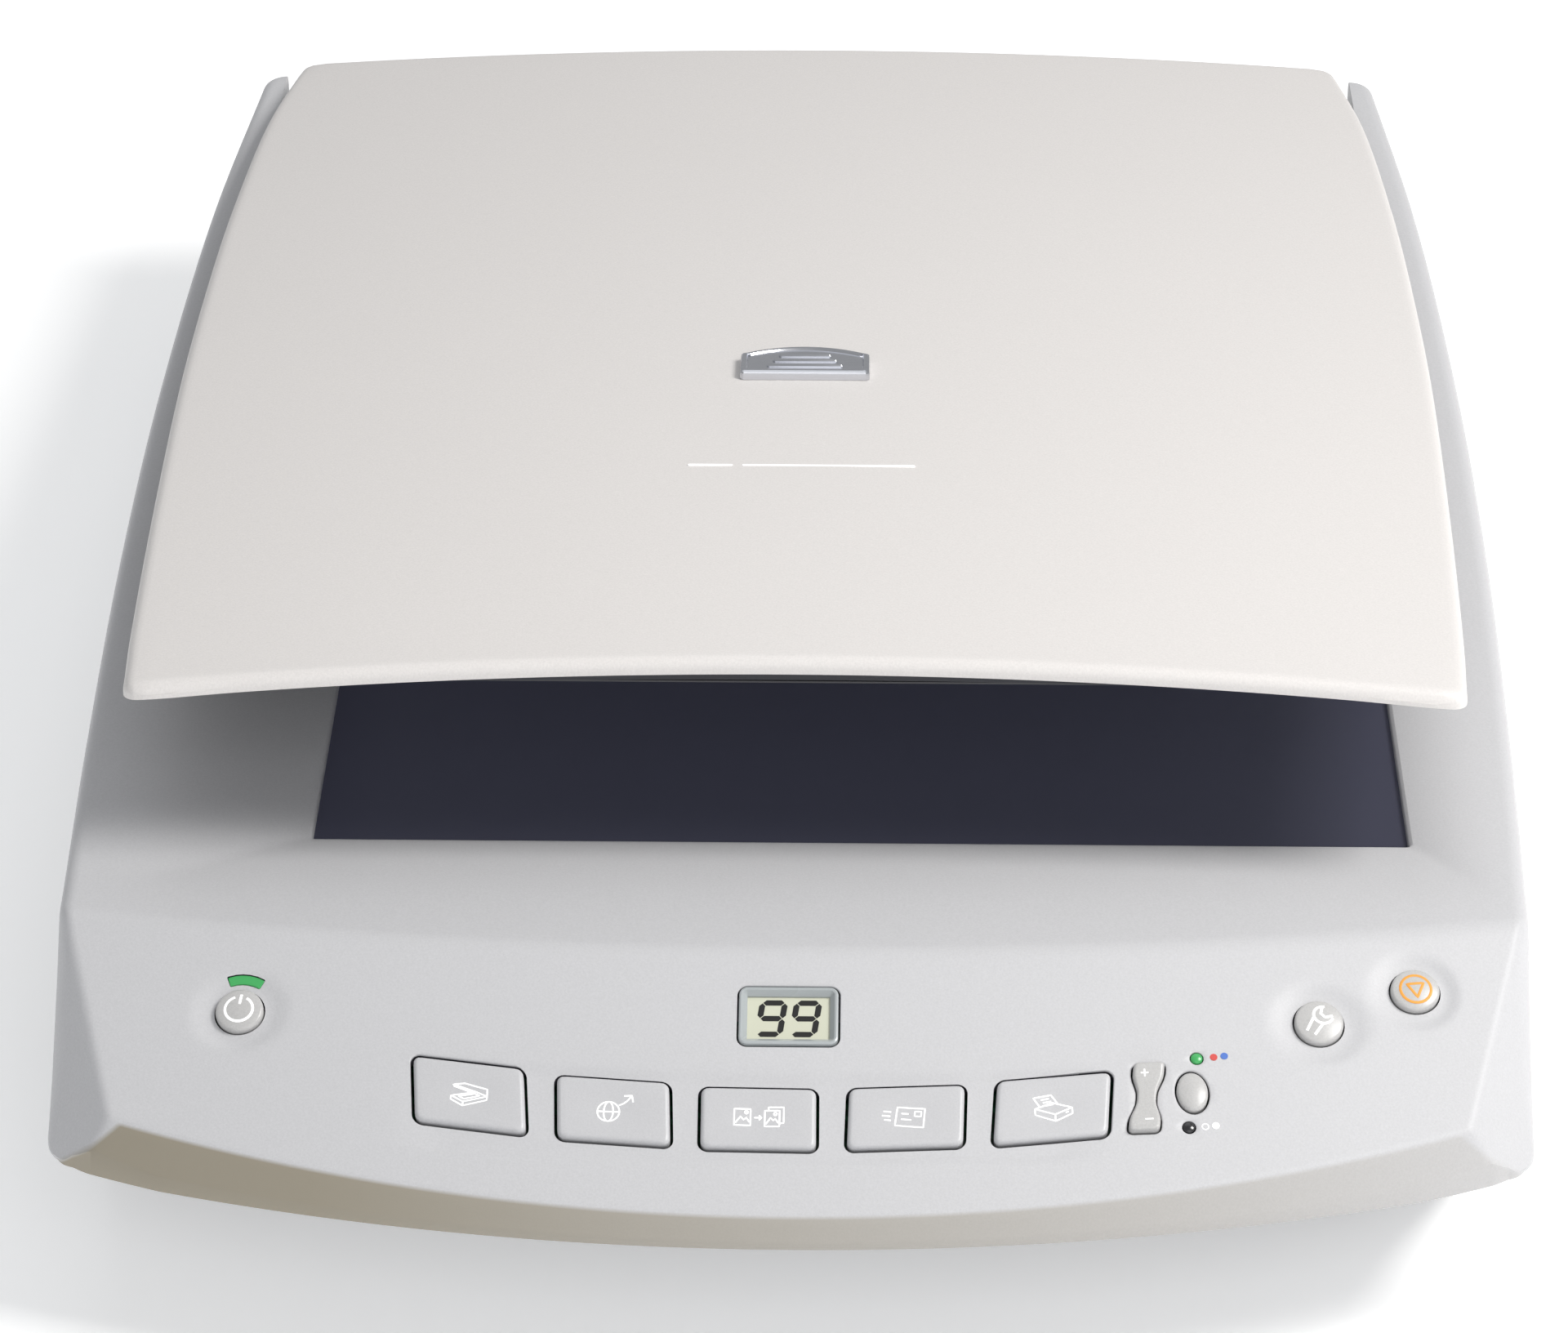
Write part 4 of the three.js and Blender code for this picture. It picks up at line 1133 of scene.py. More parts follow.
# ---- lid ---------------------------------------------------------------------------------------
@dataclass
class Lid:
    """The crowned lid, its liner, pad and plate, propped a little open."""

    hinge: Vector
    stations: tuple[Point, ...] = (
        (131.5, 226.5),
        (136.5, 186.0),
        (138.9, 126.0),
        (139.3, 76.0),
        (138.6, 17.0),
        (136.0, -55.0),
        (132.9, -119.0),
        (131.4, -141.0),
    )
    front_y: float = -145.0
    bow: float = 4.5
    skin: float = 3.2
    under: float = 68.5
    top: float = 76.3
    crown: float = 1865.0
    edge: float = 2.3
    liner_inset: float = 11.0
    opening: float = math.radians(5.5)
    pad_front: float = -123.0
    pad_rear: float = 168.5
    pad_bottom: float = 63.75
    pad_top: float = 66.25
    pad_swell: float = 0.45

    def lifted(self) -> Matrix:
        """The turn from the closed lid to where it rests."""
        turn = Matrix.Rotation(-self.opening, 4, "X")
        return Matrix.Translation(self.hinge) @ turn @ Matrix.Translation(-self.hinge)

    def outline(self, inset: float = 0.0) -> Outline:
        """The lid's outline, moved in by an inset."""
        front: Row = lambda x: self.front_y + self.bow * max(0.0, 1.0 - (x / 128.0) ** 2)
        return Outline(self.stations, 226.5, front, 3.6, 5.0, 110.0, inset)

    def slab(
        self, name: str, inset: float, z: Height, drop: Height, edge: float, step: float
    ) -> bpy.types.Object:
        """A slab with the lid's outline.

        Args:
            name: the slab's name.
            inset: how far it lies inside the outline.
            z: the height of its top.
            drop: the height of the lower edge of its rim.
            edge: the radius of its upper edge.
            step: how coarse its grid is.

        Returns:
            The slab, as if the lid were closed.
        """
        outline = self.outline(inset)
        round_steps = [edge * (1 - math.cos(math.radians(a))) for a in (14, 28, 42, 56, 72, 90)]
        near = [0.0, *round_steps, edge * 1.5]
        middle = spread(0, outline.widest - edge * 1.5, step)
        columns = both_ways([*middle, *[outline.widest - d for d in near]])

        def row(t: float, offset: float) -> Row:
            """A row part of the way from front to rear, plus an offset."""
            return lambda x: outline.front_at(x) * (1 - t) + outline.rear_at * t + offset

        inner = spread(0, 1, step / 370.0)[1:-1]
        rows = [row(0, d) for d in near]
        rows += [lambda x, t=t: row(0, edge * 1.5)(x) * (1 - t) + row(1, -edge * 1.5)(x) * t for t in inner]
        rows += [row(1, -d) for d in reversed(near)]

        def place(column: float, index: int) -> Vector:
            """A point of the slab's top."""
            x, y = outline.place(column, rows[index](math.copysign(min(abs(column), 131.0), column)))
            return Vector((x, y, z(x, y) - round_over(outline.depth(x, y), edge)))

        fall = lambda at: Vector((at.x, at.y, drop(at.x, at.y)))
        return Bench.relief(name, columns, len(rows), place, fall)

    def top_at(self, x: float, y: float) -> float:
        """The height of the crowned top."""
        return self.top + math.sqrt(self.crown**2 - x * x) - self.crown

    def notch(self, side: int, half: float, y0: float, top: float) -> bpy.types.Object:
        """The block that makes room for a hinge."""
        x = side * 105.0
        return Bench.prism("notch", rounded_box(x - half, x + half, y0, 240, 1), [(60, 0), (top, 0)])

    def build_cover(self) -> bpy.types.Object:
        """Makes the cover."""
        cover = self.slab("lid_shell", 0.0, self.top_at, lambda x, y: self.under - 3.0, self.edge, 5.0)
        hollow = [(x, self.top_at(x, 0) - self.skin) for x in spread(-150, 150, 5.0)]
        section = [(150, 40), *reversed(hollow), (-150, 40)]
        arch = Bench.prism("arch", lambda grow: section, [(-240, 0), (240, 0)])
        arch.data.transform(Matrix.Rotation(math.radians(90), 4, "X"))
        Bench.carve(cover, [arch])
        Bench.carve(cover, [self.notch(side, 17.0, 203.0, 71.0) for side in (-1, 1)])
        cover.data.transform(self.lifted())
        return cover

    def build_liner(self) -> bpy.types.Object:
        """Makes the liner, whose lugs hold the hinge pins."""
        under: Height = lambda x, y: self.top_at(x, y) - self.skin - 0.3
        drop: Height = lambda x, y: 66.7 + 0.045 * max(0.0, abs(x) - 112.0)
        liner = self.slab("lid_inner", self.liner_inset, under, drop, 0.4, 9.0)
        Bench.carve(liner, [self.notch(side, 12.2, 208.6, 90.0) for side in (-1, 1)])
        lugs = []
        for side in (-1, 1):
            for end in (-1, 1):
                x = side * 105.0 + end * 14.0
                ring = rounded_box(x - 1.6, x + 1.6, 205, 221, 0.5)
                lugs.append(Bench.prism("lug", ring, [(62.8, -0.3), (63.1, 0), (69.6, 0)]))
        liner = Bench.merge([liner, *lugs], "lid_inner")
        liner.data.transform(self.lifted())
        return liner

    def build_pad(self) -> bpy.types.Object:
        """Makes the foam pad, which swells a little towards the glass."""
        low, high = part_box("lid_pad")
        x0, x1 = low.x / MM, high.x / MM
        y0, y1 = self.pad_front, self.pad_rear
        middle, half = (x0 + x1) / 2, (x1 - x0) / 2
        centre, long = (y0 + y1) / 2, (y1 - y0) / 2
        edge = 1.5
        near = [edge * (1 - math.cos(math.radians(a))) for a in (0, 18, 36, 54, 72, 90)]
        columns = both_ways([*spread(0, half - edge, 7.0), *[half - d for d in near]])
        lines = both_ways([*spread(0, long - edge, 7.0), *[long - d for d in near]])

        def place(column: float, row: int) -> Vector:
            """A point of the pad's lower face, whose sides pull in between the corners."""
            a, b = column / half, lines[row] / long
            x = middle + column - math.copysign(0.7 * a * a * (1 - b * b), column)
            y = centre + lines[row] - math.copysign(0.7 * b * b * (1 - a * a), lines[row])
            depth = min(half - abs(column), long - abs(lines[row]))
            swell = self.pad_swell * (1 - a**4) * (1 - b**4)
            return Vector((x, y, self.pad_bottom - swell + round_over(depth, edge)))

        drop = lambda at: Vector((at.x, at.y, self.pad_top))
        pad = Bench.relief("foam_pad", columns, len(lines), place, drop, up=False)
        pad.data.transform(self.lifted())
        return pad

    def build_film(self) -> bpy.types.Object:
        """Makes the film on the pad, whose front edge stays behind the cover's."""
        low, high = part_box("lid_sheet")
        y0, y1 = self.pad_front + 1.0, self.pad_rear - 1.0
        ring = rounded_box(low.x / MM + 0.5, high.x / MM - 0.5, y0, y1, 1.5)
        film = Bench.prism("lid_film", ring, [(62.42, -0.2), (62.5, 0), (62.88, 0)])
        film.data.transform(self.lifted())
        return film

    def build_plate(self) -> bpy.types.Object:
        """Makes the plain arched plate, with three fine ribs across its sunk face."""
        half_x, half_y, shoulder, radius = 14.2, 7.5, 3.0, 24.7
        reach = math.asin(half_x / radius)

        def outline(grow: float) -> list[Point]:
            """The plate's outline, with softened corners."""
            points = [(-half_x - grow + 0.7, -half_y - grow), (half_x + grow - 0.7, -half_y - grow)]
            points += [(half_x + grow, -half_y - grow + 0.7), (half_x + grow, shoulder)]
            for angle in spread(math.pi / 2 - reach, math.pi / 2 + reach, reach / 9)[1:-1]:
                r = radius + grow
                points.append((r * math.cos(angle), half_y - radius + r * math.sin(angle)))
            return [*points, (-half_x - grow, shoulder), (-half_x - grow, -half_y - grow + 0.7)]

        levels = [(76.35, 0), (77.6, 0), (78.1, -0.15), (78.35, -0.5), (78.35, -1.3), (77.95, -1.6)]
        parts = [Bench.prism("plate", outline, levels)]
        for index in range(3):
            y = -3.4 + 2.9 * index
            wide = 8.4 - 1.3 * index
            rib = rounded_box(-wide, wide, y - 0.55, y + 0.55, 0.54, 4)
            parts.append(Bench.prism("rib", rib, [(77.8, 0), (78.2, 0), (78.45, -0.25)]))
        plate = Bench.merge(parts, "lid_plate")
        plate.data.transform(self.lifted() @ Matrix.Translation(Vector((0, 10.5, 0)) * MM))
        return plate

    def build_stripe(self) -> bpy.types.Object:
        """Makes the plain printed line below the plate."""
        marks = []
        for x0, x1 in ((-24.0, -14.5), (-12.5, 24.0)):
            ring = rounded_box(x0, x1, -44.6, -43.8, 0.39, 4)
            marks.append(Bench.prism("mark", ring, [(self.top - 0.4, 0), (self.top + 0.03, 0)]))
        stripe = Bench.merge(marks, "lid_stripe")
        stripe.data.transform(self.lifted())
        return stripe

    def build(self) -> None:
        """Makes and fits all of the lid's pieces."""
        fit(self.build_cover(), "lid", Finish.LID, ["lid_cover"])
        fit(self.build_liner(), "lid", Finish.LINER, ["lid_liner"])
        pad = fit(self.build_pad(), "lid", Finish.FOAM, ["lid_pad"])
        fit(self.build_film(), "lid", Finish.FILM, ["lid_sheet"])
        fit(self.build_plate(), "lid", Finish.CHROME, ["badge"])
        fit(self.build_stripe(), "lid", Finish.INK)


# ---- buttons -----------------------------------------------------------------------------------
@dataclass
class Cap:
    """A button's cap: a rounded outline with a rolled edge and a shaped top."""

    name: str
    half_u: float
    half_v: float
    corner: float
    edge: float
    proud: float
    crown: Height = lambda u, v: 0.0
    warp: Callable[[float, float], Point] = lambda u, v: (u, v)
    bottom: float = -3.2
    step: float = 0.9
    lip: float = 0.6

    def lines(self, half: float) -> list[float]:
        """Grid lines from one side of the cap to the other, close together at the rolled edge."""
        near = [self.edge * (1 - math.cos(math.radians(a))) for a in (0, 20, 40, 60, 78, 90)]
        return both_ways([*spread(0, half - self.edge, self.step), *[half - d for d in near]])

    def flat_place(self, u: float, v: float) -> tuple[float, float, float]:
        """A point's place in the outline, and its depth inside it."""
        a = (abs(u) - self.half_u + self.corner) / self.corner
        b = (abs(v) - self.half_v + self.corner) / self.corner
        if a > 0 and b > 0:
            a, b = squircle(min(a, 1.0), min(b, 1.0))
            depth = self.corner * (1 - math.hypot(a, b))
            u = math.copysign(self.half_u - self.corner + a * self.corner, u)
            v = math.copysign(self.half_v - self.corner + b * self.corner, v)
            return u, v, depth
        return u, v, min(self.half_u - abs(u), self.half_v - abs(v))

    def top(self, u: float, v: float) -> float:
        """The height of the top over a point, away from the rolled edge."""
        return self.proud + self.crown(u, v)

    def build(self, frame: Matrix) -> bpy.types.Object:
        """Makes the cap on a frame of the panel."""
        across, along = self.lines(self.half_u), self.lines(self.half_v)

        def place(column: float, row: int) -> Vector:
            """A point of the top."""
            u, v, depth = self.flat_place(column, along[row])
            z = self.top(u, v) - round_over(depth, self.edge)
            return Vector((*self.warp(u, v), z))

        drop = lambda at: Vector((at.x, at.y, self.bottom))
        cap = Bench.relief(self.name, across, len(along), place, drop)
        cap.data.transform(frame)
        return cap

    def hole(self, frame: Matrix, gap: float) -> bpy.types.Object:
        """The block that cuts the cap's hole in the panel, with a softened lip."""
        ring = rounded_box(-self.half_u, self.half_u, -self.half_v, self.half_v, self.corner, 9)
        base = ring(0)
        parts = [max(1, round(math.dist(a, b) / 1.2)) for a, b in zip(base, base[1:] + base[:1])]

        def outline(grow: float) -> list[Point]:
            """The hole's outline, with points along its straight sides too."""
            corners = ring(gap + grow)
            points = []
            for (u, v), (u1, v1), count in zip(corners, corners[1:] + corners[:1], parts):
                steps = [i / count for i in range(count)]
                points += [self.warp(u + (u1 - u) * t, v + (v1 - v) * t) for t in steps]
            return points

        lip = self.lip
        turns = ((-0.9, 0.03), (-0.35, 0.22), (-0.06, 0.62))
        rolled = [*[(depth * lip, wide * lip) for depth, wide in turns], (0.03, lip)]
        return Bench.prism("hole", outline, [(-12, 0), (-1.2 * lip, 0), *rolled, (4, lip)], frame)


@dataclass
class Print:
    """A mark printed on a surface, drawn with strokes and dots."""

    name: str
    lines: Sequence[Sequence[Point]]
    width: float = 0.42
    dots: Sequence[tuple[float, float, float]] = ()

    @staticmethod
    def finely(points: Sequence[Point], step: float = 0.45) -> list[Point]:
        """A stroke with more points along it, so that it can follow a curved surface."""
        found = [points[0]]
        for (u, v), (u1, v1) in zip(points, points[1:]):
            count = max(1, math.ceil(math.hypot(u1 - u, v1 - v) / step))
            found += [(u + (u1 - u) * i / count, v + (v1 - v) * i / count) for i in range(1, count + 1)]
        return found

    def build(self, frame: Matrix, top: Height) -> bpy.types.Object:
        """Makes the mark as a thin skin.

        Args:
            frame: where it lies.
            top: the height of the surface under it.

        Returns:
            The new object.
        """
        parts = []
        if self.lines:
            curve = bpy.data.curves.new(self.name, "CURVE")
            curve.dimensions = "3D"
            curve.bevel_depth = self.width / 2 * MM
            curve.bevel_resolution = 1
            curve.use_fill_caps = True
            for points in self.lines:
                closed = points[0] == points[-1] and len(points) > 2
                kept = self.finely(points)[: -1 if closed else None]
                spline = curve.splines.new("POLY")
                spline.points.add(len(kept) - 1)
                for knot, (u, v) in zip(spline.points, kept):
                    knot.co = (u * MM, v * MM, 0.0, 1.0)
                spline.use_cyclic_u = closed
            obj = bpy.data.objects.new(self.name, curve)
            bpy.context.scene.collection.objects.link(obj)
            Bench.hold(obj)
            bpy.ops.object.convert(target="MESH")
            parts.append(bpy.context.object)
        for u, v, radius in self.dots:
            ring = rounded_box(u - radius, u + radius, v - radius, v + radius, radius, 6)
            parts.append(Bench.prism("dot", ring, [(-0.2, 0), (0.2, 0)]))
        mark = Bench.merge(parts, self.name)
        Bench.weld(mark)
        for vertex in mark.data.vertices:
            u, v, z = vertex.co / MM
            vertex.co.z = (top(u, v) + clamp(z, -0.2, 0.2) * 0.25 + 0.02) * MM
        mark.data.transform(frame)
        return mark


def arc(
    cx: float, cy: float, rx: float, ry: float, start: float, end: float, steps: int = 24
) -> list[Point]:
    """Points along an arc, its angles in degrees counterclockwise from the right."""
    angles = [math.radians(start + (end - start) * i / steps) for i in range(steps + 1)]
    points = [(cx + rx * math.cos(a), cy + ry * math.sin(a)) for a in angles]
    return [*points[:-1], points[0]] if abs(end - start) == 360 else points


class Glyph(Enum):
    """The marks on the buttons, as strokes in millimetres from the middle of each."""

    SCAN = (
        ((-3.4, -0.5), (-1.0, -1.7), (3.5, -0.4), (1.3, 0.5), (-3.4, -0.5)),
        ((-3.4, -0.5), (-3.4, -1.3), (-1.0, -2.6), (3.5, -1.2), (3.5, -0.4)),
        ((-1.0, -1.7), (-1.0, -2.6)),
        ((-2.0, -0.55), (-0.9, -1.1), (2.1, -0.3), (1.1, 0.1), (-2.0, -0.55)),
        ((1.3, 0.5), (-3.2, 1.9), (-1.0, 2.2), (3.4, 1.1), (3.5, -0.4)),
        ((-3.2, 1.9), (-3.0, 1.5), (1.0, 0.2)),
    )
    GLOBE = (
        tuple(arc(-0.9, -0.5, 2.1, 2.1, 0, 360)),
        tuple(arc(-0.9, -0.5, 0.9, 2.1, 0, 360)),
        ((-3.0, -0.5), (1.2, -0.5)),
        ((1.0, 0.9), (1.9, 1.3), (2.7, 2.0), (3.3, 2.9)),
        ((1.9, 2.9), (3.4, 3.0), (3.7, 1.6)),
    )
    PHOTO = (
        ((-4.6, -1.7), (-1.5, -1.7), (-1.5, 1.8), (-4.6, 1.8), (-4.6, -1.7)),
        ((-4.4, -1.2), (-3.4, 0.2), (-2.8, -0.5), (-2.3, 0.0), (-1.7, -1.0)),
        tuple(arc(-2.3, 1.1, 0.3, 0.3, 0, 360, 10)),
        ((-0.8, 0.0), (0.5, 0.0)),
        ((0.1, 0.5), (0.6, 0.0), (0.1, -0.5)),
        ((1.2, -1.9), (4.0, -1.9), (4.0, 1.5), (1.2, 1.5), (1.2, -1.9)),
        ((1.9, 1.5), (1.9, 2.2), (4.8, 2.2), (4.8, -1.2), (4.0, -1.2)),
        ((1.4, -1.4), (2.3, 0.0), (2.8, -0.6), (3.2, -0.2), (3.8, -1.2)),
        tuple(arc(3.2, 0.8, 0.3, 0.3, 0, 360, 10)),
    )
    MAIL = (
        ((-2.2, -2.0), (3.2, -2.5), (3.6, 1.5), (-1.6, 1.9), (-2.2, -2.0)),
        ((1.7, 1.0), (2.9, 0.9), (2.8, -0.1), (1.6, 0.0), (1.7, 1.0)),
        ((-0.9, 0.6), (0.5, 0.5)),
        ((-1.0, -0.6), (1.0, -0.8)),
        ((-4.3, 1.0), (-2.8, 0.9)),
        ((-4.6, 0.1), (-3.0, 0.0)),
        ((-4.2, -0.8), (-2.9, -0.9)),
    )
    COPY = (
        ((-3.4, -0.3), (0.4, -1.5), (3.7, -0.1), (0.0, 1.0), (-3.4, -0.3)),
        ((-3.4, -0.3), (-3.4, -1.6), (0.4, -3.0), (3.7, -1.4), (3.7, -0.1)),
        ((0.4, -1.5), (0.4, -3.0)),
        ((-2.4, 0.1), (-3.6, 2.0), (-0.2, 2.6), (1.2, 0.5)),
        ((-2.2, 1.6), (-0.6, 1.9)),
        ((-1.8, 1.0), (-0.2, 1.3)),
        ((-1.4, 0.4), (0.2, 0.7)),
        ((2.4, -1.2), (3.0, -0.95)),
    )
    POWER = (tuple(arc(0, 0, 2.7, 2.7, 115, 425)), ((0.0, 1.0), (0.0, 3.2)))
    TOOLS = (
        tuple(arc(0.9, 1.2, 1.9, 1.9, 75, 335, 20)),
        ((0.9, 3.0), (0.4, 1.5), (1.2, 0.6), (2.7, 0.9)),
        ((-1.0, 0.9), (-2.7, -1.9)),
        ((0.6, -0.7), (-1.3, -2.9)),
    )
    CANCEL = (
        tuple(arc(0, 0, 3.0, 3.0, 0, 360)),
        ((-1.6, 1.1), (1.7, 1.1), (0.05, -1.9), (-1.6, 1.1)),
    )
    SIGNS = (((-0.75, 5.0), (0.75, 5.0)), ((0.0, 4.25), (0.0, 5.75)), ((-0.8, -5.0), (0.8, -5.0)))


@dataclass
class Buttons:
    """The panel's buttons, each with its mark."""

    slope: Slope
    gap: float = 0.6
    round_gap: float = 0.3
    rise: float = 0.073
    lean: float = 0.13

    def __post_init__(self) -> None:
        """Lays the caps out."""
        self.caps: list[tuple[str, Cap, Matrix, Finish, Optional[Glyph], Finish]] = []
        keys = (
            ("scan_button", 21.4, 13.8, Glyph.SCAN),
            ("web_button", 21.5, 13.3, Glyph.GLOBE),
            ("photo_button", 21.9, 12.9, Glyph.PHOTO),
            ("mail_button", 22.0, 12.9, Glyph.MAIL),
            ("copy_button", 21.8, 13.5, Glyph.COPY),
        )
        for node, wide, tall, glyph in keys:
            frame = self.slope.frame_of(node)
            x = frame.translation.x / MM
            warp = self.leaning(x)
            dish: Height = lambda u, v: -0.28 * math.exp(-((u / 5.2) ** 2 + (v / 3.4) ** 2))
            name = node.replace("button", "key")
            cap = Cap(name, wide / 2, tall / 2, 1.5, 0.9, 0.75, dish, warp, lip=0.45)
            self.caps.append((node, cap, frame, Finish.KEY, glyph, Finish.INK))
        for node, rx, ry, glyph, ink in (
            ("power_button", 4.65, 4.65, Glyph.POWER, Finish.INK),
            ("tools_button", 4.75, 4.75, Glyph.TOOLS, Finish.INK),
            ("cancel_button", 4.75, 4.6, Glyph.CANCEL, Finish.ORANGE),
            ("color_button", 3.0, 4.2, None, Finish.INK),
        ):
            cap = self.dome(node.replace("button", "dome"), rx, ry)
            self.caps.append((node, cap, self.slope.frame_of(node), Finish.BUTTON, glyph, ink))
        frame = self.slope.frame_of("copies_rocker")
        rocker = self.rocker(frame)
        self.caps.append(("copies_rocker", rocker, frame, Finish.BUTTON, Glyph.SIGNS, Finish.INK))

    def leaning(self, x: float) -> Callable[[float, float], Point]:
        """The shear that fans the keys out round the middle of the panel."""
        lean = math.tan(math.radians(self.lean * x))
        rise = math.tan(math.radians(self.rise * x))
        return lambda u, v: (u + v * lean, v + u * rise)

    def dome(self, name: str, rx: float, ry: float) -> Cap:
        """A round or oval cap, which swells to its middle."""
        swell: Height = lambda u, v: 0.6 * (1.0 - (u * u + v * v) / (rx * rx))
        ratio = ry / rx
        return Cap(name, rx, rx, rx, 0.5, 0.4, swell, lambda u, v: (u, v * ratio), step=0.55, lip=0.4)

    def rocker(self, frame: Matrix) -> Cap:
        """The waisted rocker, raised at both ends."""
        half_u, half_v, waist = 3.0, 7.3, 1.85
        lean = math.tan(math.radians(self.lean * frame.translation.x / MM))

        def warp(u: float, v: float) -> Point:
            """Draws the waist in and leans the rocker."""
            wide = waist + (half_u - waist) * ease((abs(v) - 0.6) / 4.6)
            return u * wide / half_u + v * lean, v

        lift: Height = lambda u, v: 0.75 * (abs(v) / half_v) ** 1.6
        return Cap("copies_key", half_u, half_v, 1.0, 0.7, 0.75, lift, warp, step=0.6, lip=0.35)

    def holes(self) -> list[bpy.types.Object]:
        """The blocks that cut the caps' holes in the panel."""
        holes = []
        for _, cap, frame, look, _, _ in self.caps:
            holes.append(cap.hole(frame, self.gap if look is Finish.KEY else self.round_gap))
        return holes

    def build(self) -> None:
        """Makes and fits the caps and their marks."""
        for node, cap, frame, look, glyph, ink in self.caps:
            fit(cap.build(frame), node, look, [node], 50.0)
            if glyph is None:
                continue
            bold = 0.55 if glyph in (Glyph.POWER, Glyph.TOOLS, Glyph.CANCEL) else 0.32
            mark = Print(node + "_mark", glyph.value, bold)
            fit(mark.build(frame, cap.top), node, ink)


# ---- lights, display and printed dots ----------------------------------------------------------
@dataclass
class Indicators:
    """The power light over its button, the two round lights and the dots beside them."""

    slope: Slope

    def __post_init__(self) -> None:
        """Lays the lights out."""
        self.power = self.slope.frame_of("power_button")
        inner, reach, thick = 6.2, 27.0, 2.0

        def bend(u: float, v: float) -> Point:
            """Wraps the light round the button."""
            angle = math.radians(90.0 - u * reach / 3.1)
            r = inner + thick / 2 + v
            return r * math.cos(angle), r * math.sin(angle)

        self.arc = Cap(
            "power_arc", 3.1, thick / 2, 0.2, 0.12, -0.5, warp=bend, bottom=-3.0, step=0.4, lip=0.12
        )
        self.dots = []
        for node, look in (("color_light", Finish.GREEN), ("mono_light", Finish.SMOKE)):
            swell: Height = lambda u, v: 0.3 * (1.0 - (u * u + v * v) / 1.3)
            cap = Cap(node.replace("light", "lamp"), 1.15, 1.15, 1.15, 0.2, 0.1, swell, step=0.25, lip=0.2)
            self.dots.append((node, cap, self.slope.frame_of(node), look))

    def holes(self) -> list[bpy.types.Object]:
        """The blocks that cut the lights' holes in the panel."""
        cut = [self.arc.hole(self.power, 0.08)]
        return cut + [cap.hole(frame, 0.18) for _, cap, frame, _ in self.dots]

    def build(self) -> None:
        """Makes and fits the lights and the dots."""
        fit(self.arc.build(self.power), "case", Finish.GREEN, ["power_light"], 50.0)
        for node, cap, frame, look in self.dots:
            fit(cap.build(frame), "case", look, [node], 50.0)
        flat: Height = lambda u, v: 0.02
        colour, mono = self.dots[0][2], self.dots[1][2]
        for name, frame, at, ink in (
            ("red_dot", colour, (3.3, 0.1), Finish.RED),
            ("blue_dot", colour, (5.35, 0.25), Finish.BLUE),
            ("white_dot", mono, (5.1, 0.1), Finish.INK),
        ):
            dot = Print(name, (), dots=((*at, 0.72),))
            fit(dot.build(frame, flat), "case", ink)
        ring = Print("white_ring", (arc(3.1, 0.0, 0.62, 0.62, 0, 360, 20),), 0.22)
        fit(ring.build(mono, flat), "case", Finish.INK)


@dataclass
class Display:
    """The two-digit display: a raised clear frame round a sunk cell."""

    slope: Slope
    half_u: float = 9.6
    half_v: float = 6.35
    frame_width: float = 1.75
    sunk: float = 0.9
    digit: Point = (4.3, 6.9)
    slant: float = 0.14

    def __post_init__(self) -> None:
        """Finds the display's place."""
        self.frame = self.slope.frame_of("display_lens")
        self.hole_cap = Cap("display", self.half_u, self.half_v, 1.7, 0.4, 0.0, lip=0.3)

    def holes(self) -> list[bpy.types.Object]:
        """The block that cuts the display's hole in the panel."""
        return [self.hole_cap.hole(self.frame, 0.3)]

    def bezel(self) -> bpy.types.Object:
        """Makes the raised frame, whose inner sides slope down to the cell."""
        w, h, r = self.half_u, self.half_v, 1.7
        ring = rounded_box(-w, w, -h, h, r, 6)
        deep = -self.frame_width
        rim = [(0.32, -0.12), (0.45, -0.4), (0.38, -0.75)]
        levels = [(-3.0, 0), (0.0, 0), *rim, (-0.55, deep), (-1.4, deep)]
        return Bench.prism("display_bezel", ring, levels, self.frame)

    def cell(self) -> bpy.types.Object:
        """Makes the pale cell behind the frame."""
        inset = self.frame_width - 0.3
        w, h = self.half_u - inset, self.half_v - inset
        ring = rounded_box(-w, w, -h, h, 0.5, 3)
        return Bench.prism("display_cell", ring, [(-2.4, 0), (-1.05, 0), (-0.95, -0.12)], self.frame)

    def segment(self, a: Point, b: Point, thick: float) -> list[Point]:
        """The outline of one bar of a digit, pointed at both ends."""
        along = Vector((b[0] - a[0], b[1] - a[1])).normalized()
        across = Vector((-along.y, along.x)) * thick / 2
        start, end = Vector(a) + along * 0.12, Vector(b) - along * 0.12
        near, far = start + along * thick / 2, end - along * thick / 2
        corners = [start, near - across, far - across, end, far + across, near + across]
        return [(c.x + c.y * self.slant, c.y) for c in corners]

    def digits(self) -> bpy.types.Object:
        """Makes two nines out of the seven bars of each digit."""
        wide, tall = self.digit
        bars = []
        for middle in (-3.35, 3.25):
            l, r, t = middle - wide / 2, middle + wide / 2, tall / 2
            for a, b in (
                ((l, t), (r, t)),
                ((l, t), (l, 0)),
                ((r, t), (r, 0)),
                ((l, 0), (r, 0)),
                ((r, 0), (r, -t)),
                ((l, -t), (r, -t)),
            ):
                outline = self.segment(a, b, 1.15)
                bars.append(Bench.prism("bar", lambda grow, o=outline: o, [(-1.0, 0), (-0.9, 0)]))
        digits = Bench.merge(bars, "display_digits")
        digits.data.transform(self.frame)
        return digits

    def build(self) -> None:
        """Makes and fits the display."""
        fit(self.bezel(), "case", Finish.BEZEL, ["display_lens"], 25.0)
        fit(self.cell(), "case", Finish.CELL, ["display_panel"])
        fit(self.digits(), "case", Finish.SEGMENT)


